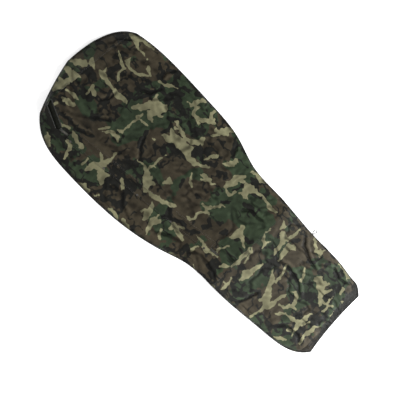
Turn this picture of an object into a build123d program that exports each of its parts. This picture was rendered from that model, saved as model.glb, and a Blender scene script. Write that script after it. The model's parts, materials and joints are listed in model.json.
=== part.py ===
from build123d import *
from math import pi
import os

# A hooded bivy sack, empty and lying on its back: floor panels, top panels sewn to them
# round the edge, and a two-way zipper down the left of the front under a snapped flap.
# The frame: +Z up from the ground, +Y from the feet to the hood, +X to the right seen from above.

# ---- driving dimensions, in millimetres ----
half_length = 1150.0
half_width = 465.0
cloth = 1.0             # three-layer cloth with its seam allowances spread over it
plateau = 52.0          # height of the front when the sack lies with air in it
shoulder = 44.0         # height at which the sides turn over towards the front
shoulder_inset = 12.0   # how far in from the outer edge the sides stand there
plateau_inset = 40.0    # how far in from the outer edge the front is level
binding = 7.0           # width of the bound seam that runs round the sack

cross_seam_y = -437.0   # seam between the torso panels and the leg panel
foot_seam_y = -1092.0   # seam between the leg panel and the end wall
far = 700.0             # beyond every edge, for the regions that cut out the panels

zip_top = (-300.0, 875.0)
zip_bottom = (-165.0, -330.0)
zip_gap = 8.0           # half the gap between the two front panels
mouth_foot = (-300.0, 893.0)
mouth_head = (-228.0, 1053.0)
mouth_half = 17.0       # half the mouth's width between its straight edges
mouth_start = 29.0      # its right edge starts this far below mouth_foot, at the zipper

chain_in = 0.8          # half the channel between the two chains
chain_out = 3.4
chain_low, chain_high = -2.5, -0.1
tape_edge = 14.0
tape_thick = 0.6

slider_at = 16.0        # a slider's middle from the end of the chain
slider_length = 20.0
slider_half = 5.6
plate = 1.0
pull_length = 34.0

flap_root = 42.0        # the flap's sewn edge, right of the chain
flap_free = -28.0       # its free edge, left of the chain
flap_under = 4.6        # its underside above the front
flap_thick = 1.2
snap_count = 5
snap_across = -20.5
flap_end = 58.0         # the flap stops this far short of the chain's ends, clear of the pulls
snap_end = 92.0         # the first and last snap from the ends of the chain

loop_at = (331.0, -652.0)
loop_cord = 3.0

# ---- the sack's outline, from the right foot corner anticlockwise ----
right_side = [(256, -1118), (319, -943), (330, -667), (353, -345), (368, -103),
              (422, 69), (455, 345), (465, 620), (460, 828), (438, 971)]
crown_right = [(438, 971), (372, 1053), (280, 1104), (150, 1138), (20, 1150)]
crown_left = [(20, 1150), (-176, 1100), (-322, 1046)]
left_side = [(-322, 1046), (-420, 920), (-463, 660), (-456, 276), (-383, -92),
             (-340, -230), (-328, -506), (-301, -851), (-249, -1085), (-185, -1150)]
foot_end = [(-185, -1150), (-80, -1134), (256, -1118)]


def outline(z, inset):
    """The outline at height z, drawn in towards the middle by inset at its widest places."""
    in_x = 1 - inset / half_width
    in_y = 1 - inset / half_length
    with BuildSketch(Plane.XY.offset(z)) as section:
        with BuildLine():
            for side in (right_side, crown_right, crown_left, left_side, foot_end):
                Spline(*[(x * in_x, y * in_y) for x, y in side])
        make_face()
    return section.sketch


def envelope(shrink):
    """The space under the front, from the floor panels up, shrunk on every side."""
    with BuildPart() as space:
        loft([outline(cloth, binding + shrink),
              outline(shoulder - 0.8 * shrink, shoulder_inset + shrink),
              outline(plateau - shrink, plateau_inset + shrink)], ruled=True)
    return space.part


def region(*corners):
    """A tall prism over a polygon, for cutting a panel out of the shell."""
    with BuildPart() as prism:
        with BuildSketch(Plane.XY.offset(-10)):
            with BuildLine():
                Polyline(*corners, close=True)
            make_face()
        extrude(amount=plateau + 40)
    return prism.part


def ring(low, high, outer, inner):
    """A flat band round the outline between two insets."""
    with BuildPart() as band:
        extrude(outline(low, outer), amount=high - low)
        extrude(outline(low, inner), amount=high - low, mode=Mode.SUBTRACT)
    return band.part


# ---- the zipper's own frames: along it, and across it ----
top_point = Vector(*zip_top, plateau)
bottom_point = Vector(*zip_bottom, plateau)
up_zip = (top_point - bottom_point).normalized()
across = Vector(up_zip.Y, -up_zip.X, 0)
zip_length = (top_point - bottom_point).length
zip_plane = Plane(origin=top_point, x_dir=across, z_dir=(0, 0, 1))
seam_end = bottom_point - up_zip * ((bottom_point.Y - cross_seam_y) / up_zip.Y)
opening_line = [(mouth_head[0] + 14, mouth_head[1] + 60), mouth_head, mouth_foot,
                zip_top, zip_bottom, (seam_end.X, cross_seam_y)]

# ---- the mouth's own frame: its x runs from its foot to its head ----
mouth_line = Vector(*mouth_head) - Vector(*mouth_foot)
mouth_plane = Plane(origin=(*mouth_foot, plateau), x_dir=mouth_line, z_dir=(0, 0, 1))
mouth_corners = [(-mouth_start, -mouth_half), (mouth_line.length, -mouth_half),
                 (mouth_line.length, mouth_half), (0, mouth_half)]


def rail(start):
    """A plane across the zipper, start mm below its top, facing down along it."""
    return Plane(origin=top_point - up_zip * start, x_dir=across, z_dir=up_zip * -1)


def crown_edge():
    """The seam between the crown and the front: a shallow arc from edge to edge."""
    return ThreePointArc((-far, 1080), (0, 1024), (far, 936))


# ---- the shell's fabric panels ----
shell = envelope(0) - envelope(cloth)

with BuildPart() as crown_cut:
    with BuildSketch(Plane.XY.offset(-10)):
        with BuildLine():
            edge = crown_edge()
            Polyline(edge @ 1, (far, 1300), (-far, 1300), edge @ 0)
        make_face()
    extrude(amount=plateau + 40)

with BuildPart() as openings:
    with BuildSketch(zip_plane.offset(-10)):
        with Locations((0, -zip_length / 2)):
            Rectangle(2 * zip_gap, zip_length + 2 * zip_gap)
    extrude(amount=20)
    with BuildSketch(mouth_plane.offset(-10)):
        Polygon(*mouth_corners, align=None)
    extrude(amount=20)

with BuildPart() as crown_panel:
    add(shell)
    add(crown_cut.part, mode=Mode.INTERSECT)

with BuildPart() as torso_panel:
    add(shell)
    add(region(*opening_line, (far, cross_seam_y), (far, 1073)), mode=Mode.INTERSECT)
    add(crown_cut.part, mode=Mode.SUBTRACT)
    add(openings.part, mode=Mode.SUBTRACT)

with BuildPart() as left_front_panel:
    add(shell)
    add(region(*opening_line, (-far, cross_seam_y), (-far, 1073)), mode=Mode.INTERSECT)
    add(crown_cut.part, mode=Mode.SUBTRACT)
    add(openings.part, mode=Mode.SUBTRACT)

with BuildPart() as leg_panel:
    add(shell)
    add(region((-far, cross_seam_y), (far, cross_seam_y), (far, foot_seam_y), (-far, foot_seam_y)),
        mode=Mode.INTERSECT)

with BuildPart() as foot_panel:
    add(shell)
    add(region((-far, foot_seam_y), (far, foot_seam_y), (far, -1300), (-far, -1300)),
        mode=Mode.INTERSECT)

with BuildPart() as torso_floor_panel:
    add(outline(0, binding))
    extrude(amount=cloth)
    add(region((-far, cross_seam_y), (far, cross_seam_y), (far, 1300), (-far, 1300)),
        mode=Mode.INTERSECT)

with BuildPart() as leg_floor_panel:
    add(outline(0, binding))
    extrude(amount=cloth)
    add(region((-far, cross_seam_y), (far, cross_seam_y), (far, -1300), (-far, -1300)),
        mode=Mode.INTERSECT)

# ---- bound outer seam and the tapes that seal the seams inside ----
bound_seam = ring(0.5, 2.7, 0, binding)
sealing = ring(cloth, cloth + 0.3, binding + 3, binding + 18)
right_half = region((0, foot_seam_y), (far, foot_seam_y), (far, 1300), (0, 1300))
left_half = region((0, foot_seam_y), (-far, foot_seam_y), (-far, 1300), (0, 1300))
foot_part = region((-far, foot_seam_y), (far, foot_seam_y), (far, -1300), (-far, -1300))

with BuildPart() as right_binding:
    add(bound_seam)
    add(right_half, mode=Mode.INTERSECT)

with BuildPart() as left_binding:
    add(bound_seam)
    add(left_half, mode=Mode.INTERSECT)

with BuildPart() as foot_binding:
    add(bound_seam)
    add(foot_part, mode=Mode.INTERSECT)

with BuildPart() as right_seam_tape:
    add(sealing)
    add(right_half, mode=Mode.INTERSECT)

with BuildPart() as left_seam_tape:
    add(sealing)
    add(left_half, mode=Mode.INTERSECT)

with BuildPart() as cross_seam_tape:
    with BuildSketch(Plane.XY.offset(plateau - cloth)):
        with Locations((6, cross_seam_y)):
            Rectangle(590, 22)
    extrude(amount=-0.4)

with BuildPart() as mouth_binding:
    with BuildSketch(mouth_plane):
        Polygon(*mouth_corners, align=None)
        offset(amount=5)
        Polygon(*mouth_corners, align=None, mode=Mode.SUBTRACT)
    extrude(amount=1.2)
    with BuildSketch(zip_plane.offset(-1)):
        with Locations((0, -40)):
            Rectangle(60, 80 + 2 * zip_gap + 6)
    extrude(amount=4, mode=Mode.SUBTRACT)

# ---- the zipper: tapes, chains, stops, sliders and pulls ----
with BuildPart() as left_zipper_tape:
    with BuildSketch(zip_plane.offset(-cloth)):
        with Locations((-(chain_out + tape_edge) / 2, -zip_length / 2)):
            Rectangle(tape_edge - chain_out, zip_length + 12)
    extrude(amount=-tape_thick)

with BuildPart() as right_zipper_tape:
    with BuildSketch(zip_plane.offset(-cloth)):
        with Locations(((chain_out + tape_edge) / 2, -zip_length / 2)):
            Rectangle(tape_edge - chain_out, zip_length + 12)
    extrude(amount=-tape_thick)

with BuildPart() as left_zipper_chain:
    with BuildSketch(rail(0)):
        with Locations((-(chain_in + chain_out) / 2, (chain_low + chain_high) / 2)):
            RectangleRounded(chain_out - chain_in, chain_high - chain_low, 0.7)
    extrude(amount=zip_length)

with BuildPart() as right_zipper_chain:
    with BuildSketch(rail(0)):
        with Locations(((chain_in + chain_out) / 2, (chain_low + chain_high) / 2)):
            RectangleRounded(chain_out - chain_in, chain_high - chain_low, 0.7)
    extrude(amount=zip_length)


def stops(start):
    """A pair of clamped stops, one on each tape's beaded edge, start mm down the zipper."""
    with BuildPart() as pair:
        with BuildSketch(rail(start)):
            for side in (-1, 1):
                with Locations((side * (chain_in + chain_out) / 2, (chain_low + chain_high) / 2)):
                    RectangleRounded(chain_out - chain_in, 3.4, 0.6)
        extrude(amount=4)
    return pair


top_stops = stops(-4.5)
bottom_stops = stops(zip_length + 0.5)

channel_low, channel_high = chain_low - 0.4, chain_high + 0.4
pivot_high = 2.2        # the pull's axis above the front
bail_under = pivot_high + 0.9
bail_top = bail_under + 1.0


def slider(middle, nose):
    """A slider body round both chains. nose is -1 where its nose points up the zipper."""
    front = middle + nose * slider_length / 2
    with BuildPart() as body:
        with BuildSketch(rail(middle - slider_length / 2)):
            for low in (channel_high, channel_low - plate):
                with Locations((0, low + plate / 2)):
                    Rectangle(2 * slider_half, plate)
            for side in (-1, 1):
                for low, high in ((-0.7, channel_high), (channel_low, -1.9)):
                    with Locations((side * (slider_half - 0.6), (low + high) / 2)):
                        Rectangle(1.2, high - low)
        extrude(amount=slider_length)
        with BuildSketch(rail(front)):
            with Locations((0, (channel_low + channel_high) / 2)):
                Rectangle(1.0, channel_high - channel_low + 0.2)
        extrude(amount=-nose * 7)
        plate_corners = body.edges().filter_by(Axis.Z).filter_by(lambda e: 1.5 < e.length < 2.5)
        fillet(plate_corners, radius=1.0)
        # the bail over the pull's eye: two legs and a bar, rounded on top
        with BuildSketch(Plane(origin=top_point - up_zip * middle, x_dir=up_zip, z_dir=across)
                         .offset(-1.0)):
            with Locations((0, (channel_high + plate + bail_top) / 2)):
                RectangleRounded(14, bail_top - channel_high - plate + 0.8, 0.8)
            with Locations((0, (channel_high + plate + bail_under) / 2)):
                Rectangle(10, bail_under - channel_high - plate, mode=Mode.SUBTRACT)
            with Locations((0, channel_high + plate - 0.4)):
                Rectangle(14, 0.8, mode=Mode.SUBTRACT)
        extrude(amount=2.0)
    return body


upper_slider = slider(slider_at, -1)
lower_slider = slider(zip_length - slider_at, 1)


def pull(middle, towards):
    """A pull with an eye bar under the bail; towards is 1 where it lies down the zipper."""
    flat = Plane(origin=top_point - up_zip * middle + Vector(0, 0, pivot_high),
                 x_dir=up_zip * -towards, z_dir=(0, 0, 1))
    with BuildPart() as tab:
        with BuildSketch(flat.offset(-0.6)):
            with Locations(((pull_length + 8) / 2, 0)):
                RectangleRounded(pull_length - 8, 10, 3)
            for side in (-1, 1):
                with Locations((5.4, side * 2.9)):
                    Rectangle(11.4, 1.8)
            with Locations((pull_length - 6, 0)):
                Circle(2, mode=Mode.SUBTRACT)
        extrude(amount=1.2)
        with BuildSketch(Plane(origin=flat.origin, x_dir=up_zip * -1, z_dir=across).offset(-3.8)):
            Circle(0.5)
        extrude(amount=7.6)
    return tab


upper_pull = pull(slider_at, 1)
lower_pull = pull(zip_length - slider_at, -1)

# ---- the storm flap with its snaps ----
snap_step = (zip_length - 2 * snap_end) / (snap_count - 1)
snap_places = [(snap_across, -snap_end - n * snap_step) for n in range(snap_count)]
flap_length = zip_length - 2 * flap_end
flap_over = flap_under + flap_thick

with BuildPart() as storm_flap:
    with BuildSketch(rail(flap_end)):
        with BuildLine():
            Polyline((flap_root, 0.3), (31, 0.3), (23, flap_under), (flap_free, flap_under),
                     (flap_free, flap_over), (22.4, flap_over), (30.4, 1.5), (flap_root, 1.5),
                     close=True)
        make_face()
    extrude(amount=flap_length)
    with BuildSketch(zip_plane.offset(flap_under - 1)):
        with Locations(*snap_places):
            Circle(1.8)
    extrude(amount=3, mode=Mode.SUBTRACT)

with BuildPart() as flap_seam:
    with BuildSketch(rail(flap_end)):
        with Locations((flap_root + 5.3, 0.55)):
            Rectangle(10, 1.1)
    extrude(amount=flap_length)

with BuildPart() as snap_caps:
    with BuildSketch(zip_plane.offset(flap_over)):
        with Locations(*snap_places):
            Circle(7)
    extrude(amount=1.7)
    fillet(snap_caps.edges().group_by(Axis.Z)[-1], radius=1.3)
    with BuildSketch(zip_plane.offset(flap_over)):
        with Locations(*snap_places):
            Circle(1.5)
    extrude(amount=-2.2)

with BuildPart() as snap_sockets:
    with BuildSketch(zip_plane.offset(flap_under)):
        with Locations(*snap_places):
            Circle(6)
            Circle(1.6, mode=Mode.SUBTRACT)
    extrude(amount=-3.6)
    with BuildSketch(zip_plane.offset(flap_under - 1.2)):
        with Locations(*snap_places):
            Circle(3.3)
    extrude(amount=-3, mode=Mode.SUBTRACT)

with BuildPart() as snap_studs:
    with BuildSketch(zip_plane):
        with Locations(*snap_places):
            Circle(6)
    extrude(amount=0.6)
    with BuildSketch(zip_plane):
        with Locations(*snap_places):
            Circle(2.9)
    extrude(amount=3)
    fillet(snap_studs.edges().group_by(Axis.Z)[-1], radius=0.6)
    with BuildSketch(zip_plane):
        with Locations(*snap_places):
            Circle(1.6)
    extrude(amount=0.6, mode=Mode.SUBTRACT)

with BuildPart() as snap_posts:
    with BuildSketch(zip_plane.offset(-cloth)):
        with Locations(*snap_places):
            Circle(6)
    extrude(amount=-0.7)
    with BuildSketch(zip_plane.offset(-cloth)):
        with Locations(*snap_places):
            Circle(1.5)
    extrude(amount=cloth + 0.5)

with left_front_panel:
    with BuildSketch(zip_plane.offset(-3)):
        with Locations(*snap_places):
            Circle(1.8)
    extrude(amount=6, mode=Mode.SUBTRACT)

# ---- loops inside that hold a sleeping bag, and the loop on the right edge ----
inner_loop_places = [(414, 800), (-414, 700), (282, -930), (-263, -890)]

with BuildPart() as inner_loops:
    with BuildSketch(Plane.XY.offset(cloth)):
        with Locations(*inner_loop_places):
            RectangleRounded(30, 16, 3)
    extrude(amount=2)

with BuildPart() as inner_loop_snaps:
    with BuildSketch(Plane.XY.offset(cloth + 2)):
        with Locations(*inner_loop_places):
            Circle(6)
    extrude(amount=0.8)
    with BuildSketch(Plane.XY.offset(cloth + 2)):
        with Locations(*inner_loop_places):
            Circle(2.9)
    extrude(amount=3)
    fillet(inner_loop_snaps.edges().group_by(Axis.Z)[-1], radius=0.6)

loop_x, loop_y = loop_at
loop_route = [(0, 3.4), (9, 3.6), (17, 9.5), (28, 9), (33, 0), (28, -9), (17, -9.5),
              (9, -3.6), (0, -3.4)]
loop_points = [Vector(loop_x + x, loop_y + y, loop_cord / 2 + 0.5) for x, y in loop_route]


def bend_radius(before, corner, after):
    """As large as the two runs allow: 0.45 of the shorter one over the half turn's tangent."""
    one, two = corner - before, after - corner
    half_turn = Vector(1, 0).get_angle(Vector(1, 0).rotate(Axis.Z, one.get_angle(two) / 2))
    chord = 0.45 * min(one.length, two.length)
    tangent = Vector(1, 0).rotate(Axis.Z, half_turn)
    return chord * tangent.X / tangent.Y


radii = [bend_radius(*loop_points[n - 1:n + 2]) for n in range(1, len(loop_points) - 1)]
print("side loop radii", [round(r, 1) for r in radii])

with BuildPart() as side_loop:
    with BuildLine() as loop_path:
        FilletPolyline(*loop_points, radius=radii)
    with BuildSketch(Plane(origin=loop_path.line @ 0, z_dir=loop_path.line % 0)):
        Circle(loop_cord / 2)
    sweep()
print("side loop length", round(loop_path.wire().length, 1),
      "volume over section", round(side_loop.part.volume / (pi * loop_cord ** 2 / 4), 1))

with BuildPart() as loop_bartack:
    with BuildSketch(Plane.XY.offset(2.7)):
        with Locations((loop_x - 3.4, loop_y)):
            RectangleRounded(4.2, 16, 1)
    extrude(amount=0.9)

# ---- write every piece ----
pieces = {
    "crown_panel": crown_panel, "torso_panel": torso_panel,
    "left_front_panel": left_front_panel, "leg_panel": leg_panel, "foot_panel": foot_panel,
    "torso_floor_panel": torso_floor_panel, "leg_floor_panel": leg_floor_panel,
    "right_binding": right_binding, "left_binding": left_binding, "foot_binding": foot_binding,
    "right_seam_tape": right_seam_tape, "left_seam_tape": left_seam_tape,
    "cross_seam_tape": cross_seam_tape, "mouth_binding": mouth_binding,
    "left_zipper_tape": left_zipper_tape, "right_zipper_tape": right_zipper_tape,
    "left_zipper_chain": left_zipper_chain, "right_zipper_chain": right_zipper_chain,
    "zipper_top_stops": top_stops, "zipper_bottom_stops": bottom_stops,
    "upper_slider": upper_slider, "upper_pull": upper_pull,
    "lower_slider": lower_slider, "lower_pull": lower_pull,
    "storm_flap": storm_flap, "flap_seam": flap_seam,
    "snap_caps": snap_caps, "snap_sockets": snap_sockets,
    "snap_studs": snap_studs, "snap_posts": snap_posts,
    "inner_loops": inner_loops, "inner_loop_snaps": inner_loop_snaps,
    "side_loop": side_loop, "loop_bartack": loop_bartack,
}
os.makedirs("parts", exist_ok=True)
for label, piece in pieces.items():
    piece.part.label = label
    export_step(piece.part, f"parts/{label}.step")
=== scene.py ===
import json
import math

import bmesh
import bpy
import numpy as np
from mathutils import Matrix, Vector


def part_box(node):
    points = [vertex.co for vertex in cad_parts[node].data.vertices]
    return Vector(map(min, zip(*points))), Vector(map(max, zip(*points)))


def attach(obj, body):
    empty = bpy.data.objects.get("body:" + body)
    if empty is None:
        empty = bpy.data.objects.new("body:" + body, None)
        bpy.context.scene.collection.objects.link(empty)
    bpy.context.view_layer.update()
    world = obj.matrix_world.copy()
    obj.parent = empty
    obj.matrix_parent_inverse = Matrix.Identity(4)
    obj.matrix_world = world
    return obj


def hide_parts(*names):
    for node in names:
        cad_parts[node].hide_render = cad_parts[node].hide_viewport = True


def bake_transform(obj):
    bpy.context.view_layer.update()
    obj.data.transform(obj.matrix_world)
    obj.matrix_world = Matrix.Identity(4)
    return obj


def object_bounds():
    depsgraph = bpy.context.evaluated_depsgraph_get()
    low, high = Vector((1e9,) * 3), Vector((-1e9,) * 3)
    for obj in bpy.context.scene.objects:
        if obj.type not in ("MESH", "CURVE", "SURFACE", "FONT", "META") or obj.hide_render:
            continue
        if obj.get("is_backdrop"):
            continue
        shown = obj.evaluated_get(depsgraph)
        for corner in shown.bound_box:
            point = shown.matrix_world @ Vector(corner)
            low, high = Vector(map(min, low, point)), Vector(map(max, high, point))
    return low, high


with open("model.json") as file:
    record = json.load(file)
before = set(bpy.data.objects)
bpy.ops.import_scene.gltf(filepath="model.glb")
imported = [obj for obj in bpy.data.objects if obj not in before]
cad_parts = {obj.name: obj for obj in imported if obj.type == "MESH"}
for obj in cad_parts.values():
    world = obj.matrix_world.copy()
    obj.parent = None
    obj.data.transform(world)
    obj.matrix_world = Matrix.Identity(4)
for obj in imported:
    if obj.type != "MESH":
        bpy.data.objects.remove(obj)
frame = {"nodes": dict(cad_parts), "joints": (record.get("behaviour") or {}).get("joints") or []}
cad_low, cad_high = (list(corner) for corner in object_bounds())

MM, CM = 0.001, 0.01
nodes = frame["nodes"]
joints = {joint["name"]: joint for joint in frame["joints"]}
scene = bpy.context.scene

# ---------------------------------------------------------------- places, from the frame
half_width = (cad_high[0] - cad_low[0]) / 2
half_length = (cad_high[1] - cad_low[1]) / 2
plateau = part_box("torso_panel")[1][2]
cross_seam_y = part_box("leg_panel")[1][1]
foot_seam_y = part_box("leg_panel")[0][1]
binding_width = 7 * MM
binding_low, binding_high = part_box("foot_binding")[0][2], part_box("foot_binding")[1][2]

up_zip = np.array(joints["flap_hinge"]["axis"][:2])
across = np.array([up_zip[1], -up_zip[0]])
slider_inset = 16 * MM
zip_top = np.array(joints["upper_pull_hinge"]["pos_m"][:2]) + up_zip * slider_inset
zip_bottom = np.array(joints["lower_pull_hinge"]["pos_m"][:2]) - up_zip * slider_inset
zip_length = float(np.linalg.norm(zip_top - zip_bottom))
zip_gap = 8 * MM
mouth_foot = zip_top + np.array([0, 18]) * MM
mouth_head = mouth_foot + np.array([72, 160]) * MM
mouth_half = 17 * MM
mouth_way = (mouth_head - mouth_foot) / np.linalg.norm(mouth_head - mouth_foot)
mouth_side = np.array([mouth_way[1], -mouth_way[0]])
flap_root, flap_end = 42 * MM, 58 * MM
snap_across, snap_end, snap_count = -20.5 * MM, 92 * MM, 5


def crown_seam_y(x):
    """The seam between the crown and the front: a shallow curve."""
    middle, slant, bend = 1.024, -0.102857, -0.03265
    return middle + slant * x + bend * x * x


def zip_place(u, v):
    """The point u to the right of the chain and v down it from its top, seen from above."""
    return zip_top + across * u - up_zip * v


def zip_frame(points):
    """How far right of the chain, and how far down it, each point is."""
    away = points - zip_top
    return away @ across, -(away @ up_zip)


# ---------------------------------------------------------------- noise
def lattice_noise(x, y, seed):
    """Smooth noise from -1 to 1 that changes over about 1 in x and y."""
    def corner(i, j):
        n = i * 374761393 + j * 668265263 + seed * 1442695041
        n = (n ^ (n >> 13)) * 1274126177
        n = n ^ (n >> 16)
        return (n & 0xFFFF) / 32767.5 - 1
    i, j = np.floor(x).astype(np.int64), np.floor(y).astype(np.int64)
    u, v = x - i, y - j
    u, v = u * u * u * (u * (6 * u - 15) + 10), v * v * v * (v * (6 * v - 15) + 10)
    low = corner(i, j) * (1 - u) + corner(i + 1, j) * u
    high = corner(i, j + 1) * (1 - u) + corner(i + 1, j + 1) * u
    return low * (1 - v) + high * v


def fractal(x, y, seed, octaves=3):
    """Noise from -1 to 1 in several sizes, each half as large and half as strong as the last."""
    total, size, reach = 0.0, 1.0, 0.0
    for n in range(octaves):
        total = total + size * lattice_noise(x * 2 ** n + 17.3 * n, y * 2 ** n - 9.1 * n, seed + n)
        reach += size
        size *= 0.5
    return total / reach


def ease(x):
    """0 below 0, 1 above 1, and a smooth step between."""
    x = np.clip(x, 0, 1)
    return x * x * (3 - 2 * x)


# ---------------------------------------------------------------- the outline, from the floor
def reach_along(line):
    """How far along a line each of its points is."""
    return np.concatenate([[0], np.cumsum(np.linalg.norm(np.diff(line, axis=0), axis=1))])


def outline_ring():
    """The floor panels' outline, anticlockwise, as the CAD model has it."""
    points = []
    for name in ("torso_floor_panel", "leg_floor_panel"):
        corners = np.array([tuple(v.co) for v in nodes[name].data.vertices])
        points.append(corners[corners[:, 2] < 0.01 * MM][:, :2])
    points = np.unique(np.round(np.concatenate(points), 6), axis=0)
    return points[np.argsort(np.arctan2(points[:, 1], points[:, 0]))]


def squarer(points):
    """The outline with its right foot corner filled out, as the stuffed cloth does there."""
    corner_x, corner_y, reach, push = 0.300, -1.070, 0.055, np.array([24, 2])
    away = np.hypot(points[:, 0] - corner_x, points[:, 1] - corner_y)
    return points + np.exp(-(away / reach) ** 2)[:, None] * push * MM


ring = squarer(outline_ring())
ring_closed = np.vstack([ring, ring[:1]])
ring_along = reach_along(ring_closed)
ring_length = ring_along[-1]
floor_scale = np.array([1 - binding_width / half_width, 1 - binding_width / half_length])


def ring_point(s):
    """The floor outline's point s metres along it."""
    s = np.mod(s, ring_length)
    return np.stack([np.interp(s, ring_along, ring_closed[:, k]) for k in (0, 1)], axis=-1)


def edge_place(inset, s):
    """The point at that place of the outline, inset metres in from the sack's outer edge."""
    scale = np.stack([1 - inset / half_width, 1 - inset / half_length], axis=-1)
    return ring_point(s) / floor_scale * scale


def ring_nearest(x, y):
    """Where along the outline its corner nearest to that point is."""
    return ring_along[np.argmin(np.hypot(ring[:, 0] - x, ring[:, 1] - y))]


def ring_crossing(test, low, high):
    """Where along the outline test(point) changes sign, between two places on it."""
    s = np.linspace(low, high, 4001)
    values = test(ring_point(s))
    at = np.nonzero(np.sign(values[1:]) != np.sign(values[:-1]))[0][0]
    return s[at] + (s[at + 1] - s[at]) * values[at] / (values[at] - values[at + 1])


foot_left = ring_nearest(-0.183, -1.143)
foot_right = ring_nearest(0.252, -1.111)
crown_top = ring_nearest(0.0, 1.14)
left_cross = ring_crossing(lambda p: p[:, 1] - cross_seam_y, 0, foot_left)
left_foot = ring_crossing(lambda p: p[:, 1] - foot_seam_y, 0, foot_left)
right_foot = ring_crossing(lambda p: p[:, 1] - foot_seam_y, foot_right, crown_top)
right_cross = ring_crossing(lambda p: p[:, 1] - cross_seam_y, foot_right, crown_top)
right_crown = ring_crossing(lambda p: p[:, 1] - crown_seam_y(p[:, 0]), right_cross, crown_top)
left_crown = ring_crossing(lambda p: p[:, 1] - crown_seam_y(p[:, 0]), crown_top, ring_length)


def inset_of(points):
    """How far in from the sack's outer edge each point is, as the CAD model counts it."""
    outer = ring / floor_scale
    angles, radii = np.arctan2(outer[:, 1], outer[:, 0]), np.hypot(outer[:, 0], outer[:, 1])
    order = np.argsort(angles)
    angles, radii = angles[order], radii[order]
    low, high = np.full(len(points), -0.02), np.full(len(points), 0.9 * half_width)
    for _ in range(24):
        middle = (low + high) / 2
        x = points[:, 0] / (1 - middle / half_width)
        y = points[:, 1] / (1 - middle / half_length)
        inside = np.hypot(x, y) < np.interp(np.arctan2(y, x), angles, radii, period=2 * math.pi)
        low, high = np.where(inside, middle, low), np.where(inside, high, middle)
    return (low + high) / 2


# ---------------------------------------------------------------- camera, floor and light
def look_down():
    """The camera straight above, turned so that the hood points up and to the left."""
    data = bpy.data.cameras.new("camera")
    camera = bpy.data.objects.new("camera", data)
    scene.collection.objects.link(camera)
    height, field, aimed_at = 5.0, 2.422, 30 * MM
    data.sensor_width = 36
    data.lens = data.sensor_width * height / field
    data.clip_end = 40
    camera.location = (-7 * MM, -19 * MM, height + aimed_at)
    camera.rotation_euler = (0, 0, math.radians(-45))
    scene.camera = camera


def area_light(name, place, target, size, power):
    """A square soft light that faces the target."""
    data = bpy.data.lights.new(name, "AREA")
    data.size = size
    data.energy = power
    light = bpy.data.objects.new(name, data)
    scene.collection.objects.link(light)
    light.location = place
    light.rotation_euler = (Vector(target) - Vector(place)).to_track_quat("-Z", "Y").to_euler()


def paper_floor():
    """A wide white floor just under the sack."""
    mesh = bpy.data.meshes.new("studio_floor")
    reach, white = 14, 0.94
    mesh.from_pydata([(-reach, -reach, 0), (reach, -reach, 0), (reach, reach, 0), (-reach, reach, 0)],
                     [], [(0, 1, 2, 3)])
    floor = bpy.data.objects.new("studio_floor", mesh)
    floor.location.z = -0.2 * MM
    scene.collection.objects.link(floor)
    floor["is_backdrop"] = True
    paper = bpy.data.materials.new("studio_paper")
    paper.use_nodes = True
    shader = paper.node_tree.nodes["Principled BSDF"]
    shader.inputs["Base Color"].default_value = (white, white, white, 1)
    shader.inputs["Roughness"].default_value = 0.9
    mesh.materials.append(paper)


def studio():
    """A white floor and soft light, from all round, from above and from past the foot end."""
    paper_floor()
    world = bpy.data.worlds.new("studio_world")
    scene.world = world
    world.use_nodes = True
    background = world.node_tree.nodes["Background"]
    background.inputs["Color"].default_value = (1, 1, 1, 1)
    background.inputs["Strength"].default_value = 0.8
    area_light("overhead", place=(-0.6, 0.9, 4.6), target=(0, 0.1, 0), size=1.6, power=62)
    area_light("past_the_feet", place=(1.0, -3.3, 2.4), target=(0, -0.4, 0), size=1.0, power=240)
    scene.view_settings.view_transform = "Standard"


look_down()
studio()


# ---------------------------------------------------------------- the front's flat cut
def patch(low, high, left, right, across_at, up_at):
    """A grid of points between four edges, its rows from low to high."""
    u, v = across_at[None, :, None], up_at[:, None, None]
    grid = (1 - v) * low[None] + v * high[None] + (1 - u) * left[:, None] + u * right[:, None]
    return grid - ((1 - u) * (1 - v) * low[None, :1] + u * (1 - v) * low[None, -1:]
                   + (1 - u) * v * high[None, :1] + u * v * high[None, -1:])


def meet(point, way, other, other_way):
    """Where two lines meet."""
    t = np.linalg.solve(np.stack([way, -other_way], axis=1), other - point)
    return point + way * t[0]


def on_crown_seam(point, way):
    """Where a line from point meets the crown seam."""
    for _ in range(20):
        point = point + way * (crown_seam_y(point[0]) - point[1]) / way[1]
    return point


def opening_edge(side):
    """One edge of the front's opening, from the cross seam to the crown; side is -1 on the left."""
    gap_edge = zip_top + across * side * zip_gap
    mouth_edge = mouth_foot + mouth_side * side * mouth_half
    turn = meet(gap_edge, up_zip, mouth_edge, mouth_way)
    if side < 0:
        turn = gap_edge + up_zip * 14 * MM
    seam_end = zip_bottom - up_zip * (zip_bottom[1] - cross_seam_y) / up_zip[1]
    return np.array([seam_end, zip_bottom - up_zip * zip_gap, zip_bottom + across * side * zip_gap,
                     turn, mouth_edge, on_crown_seam(mouth_edge, mouth_way)])


def along(points, steps_of, fractions):
    """Points along a polyline, spaced as steps_of is, which has the same number of corners."""
    reach = reach_along(steps_of)
    return np.stack([np.interp(fractions * reach[-1], reach, points[:, k]) for k in (0, 1)], axis=-1)


left_columns, right_columns, mouth_columns = 18, 74, 4
torso_rows, leg_rows, foot_rows, crown_rows = 164, 72, 8, 13
left_at = np.linspace(0, 1, left_columns + 1) ** 1.3
right_at = 1 - (1 - np.linspace(0, 1, right_columns + 1)) ** 1.15


def crown_run(x):
    """Points along the crown seam."""
    return np.stack([x, crown_seam_y(x)], axis=-1)


def fractions_of(line):
    """How far across from its first point to its last each point of a line is."""
    return (line[:, 0] - line[0, 0]) / (line[-1, 0] - line[0, 0])


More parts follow.
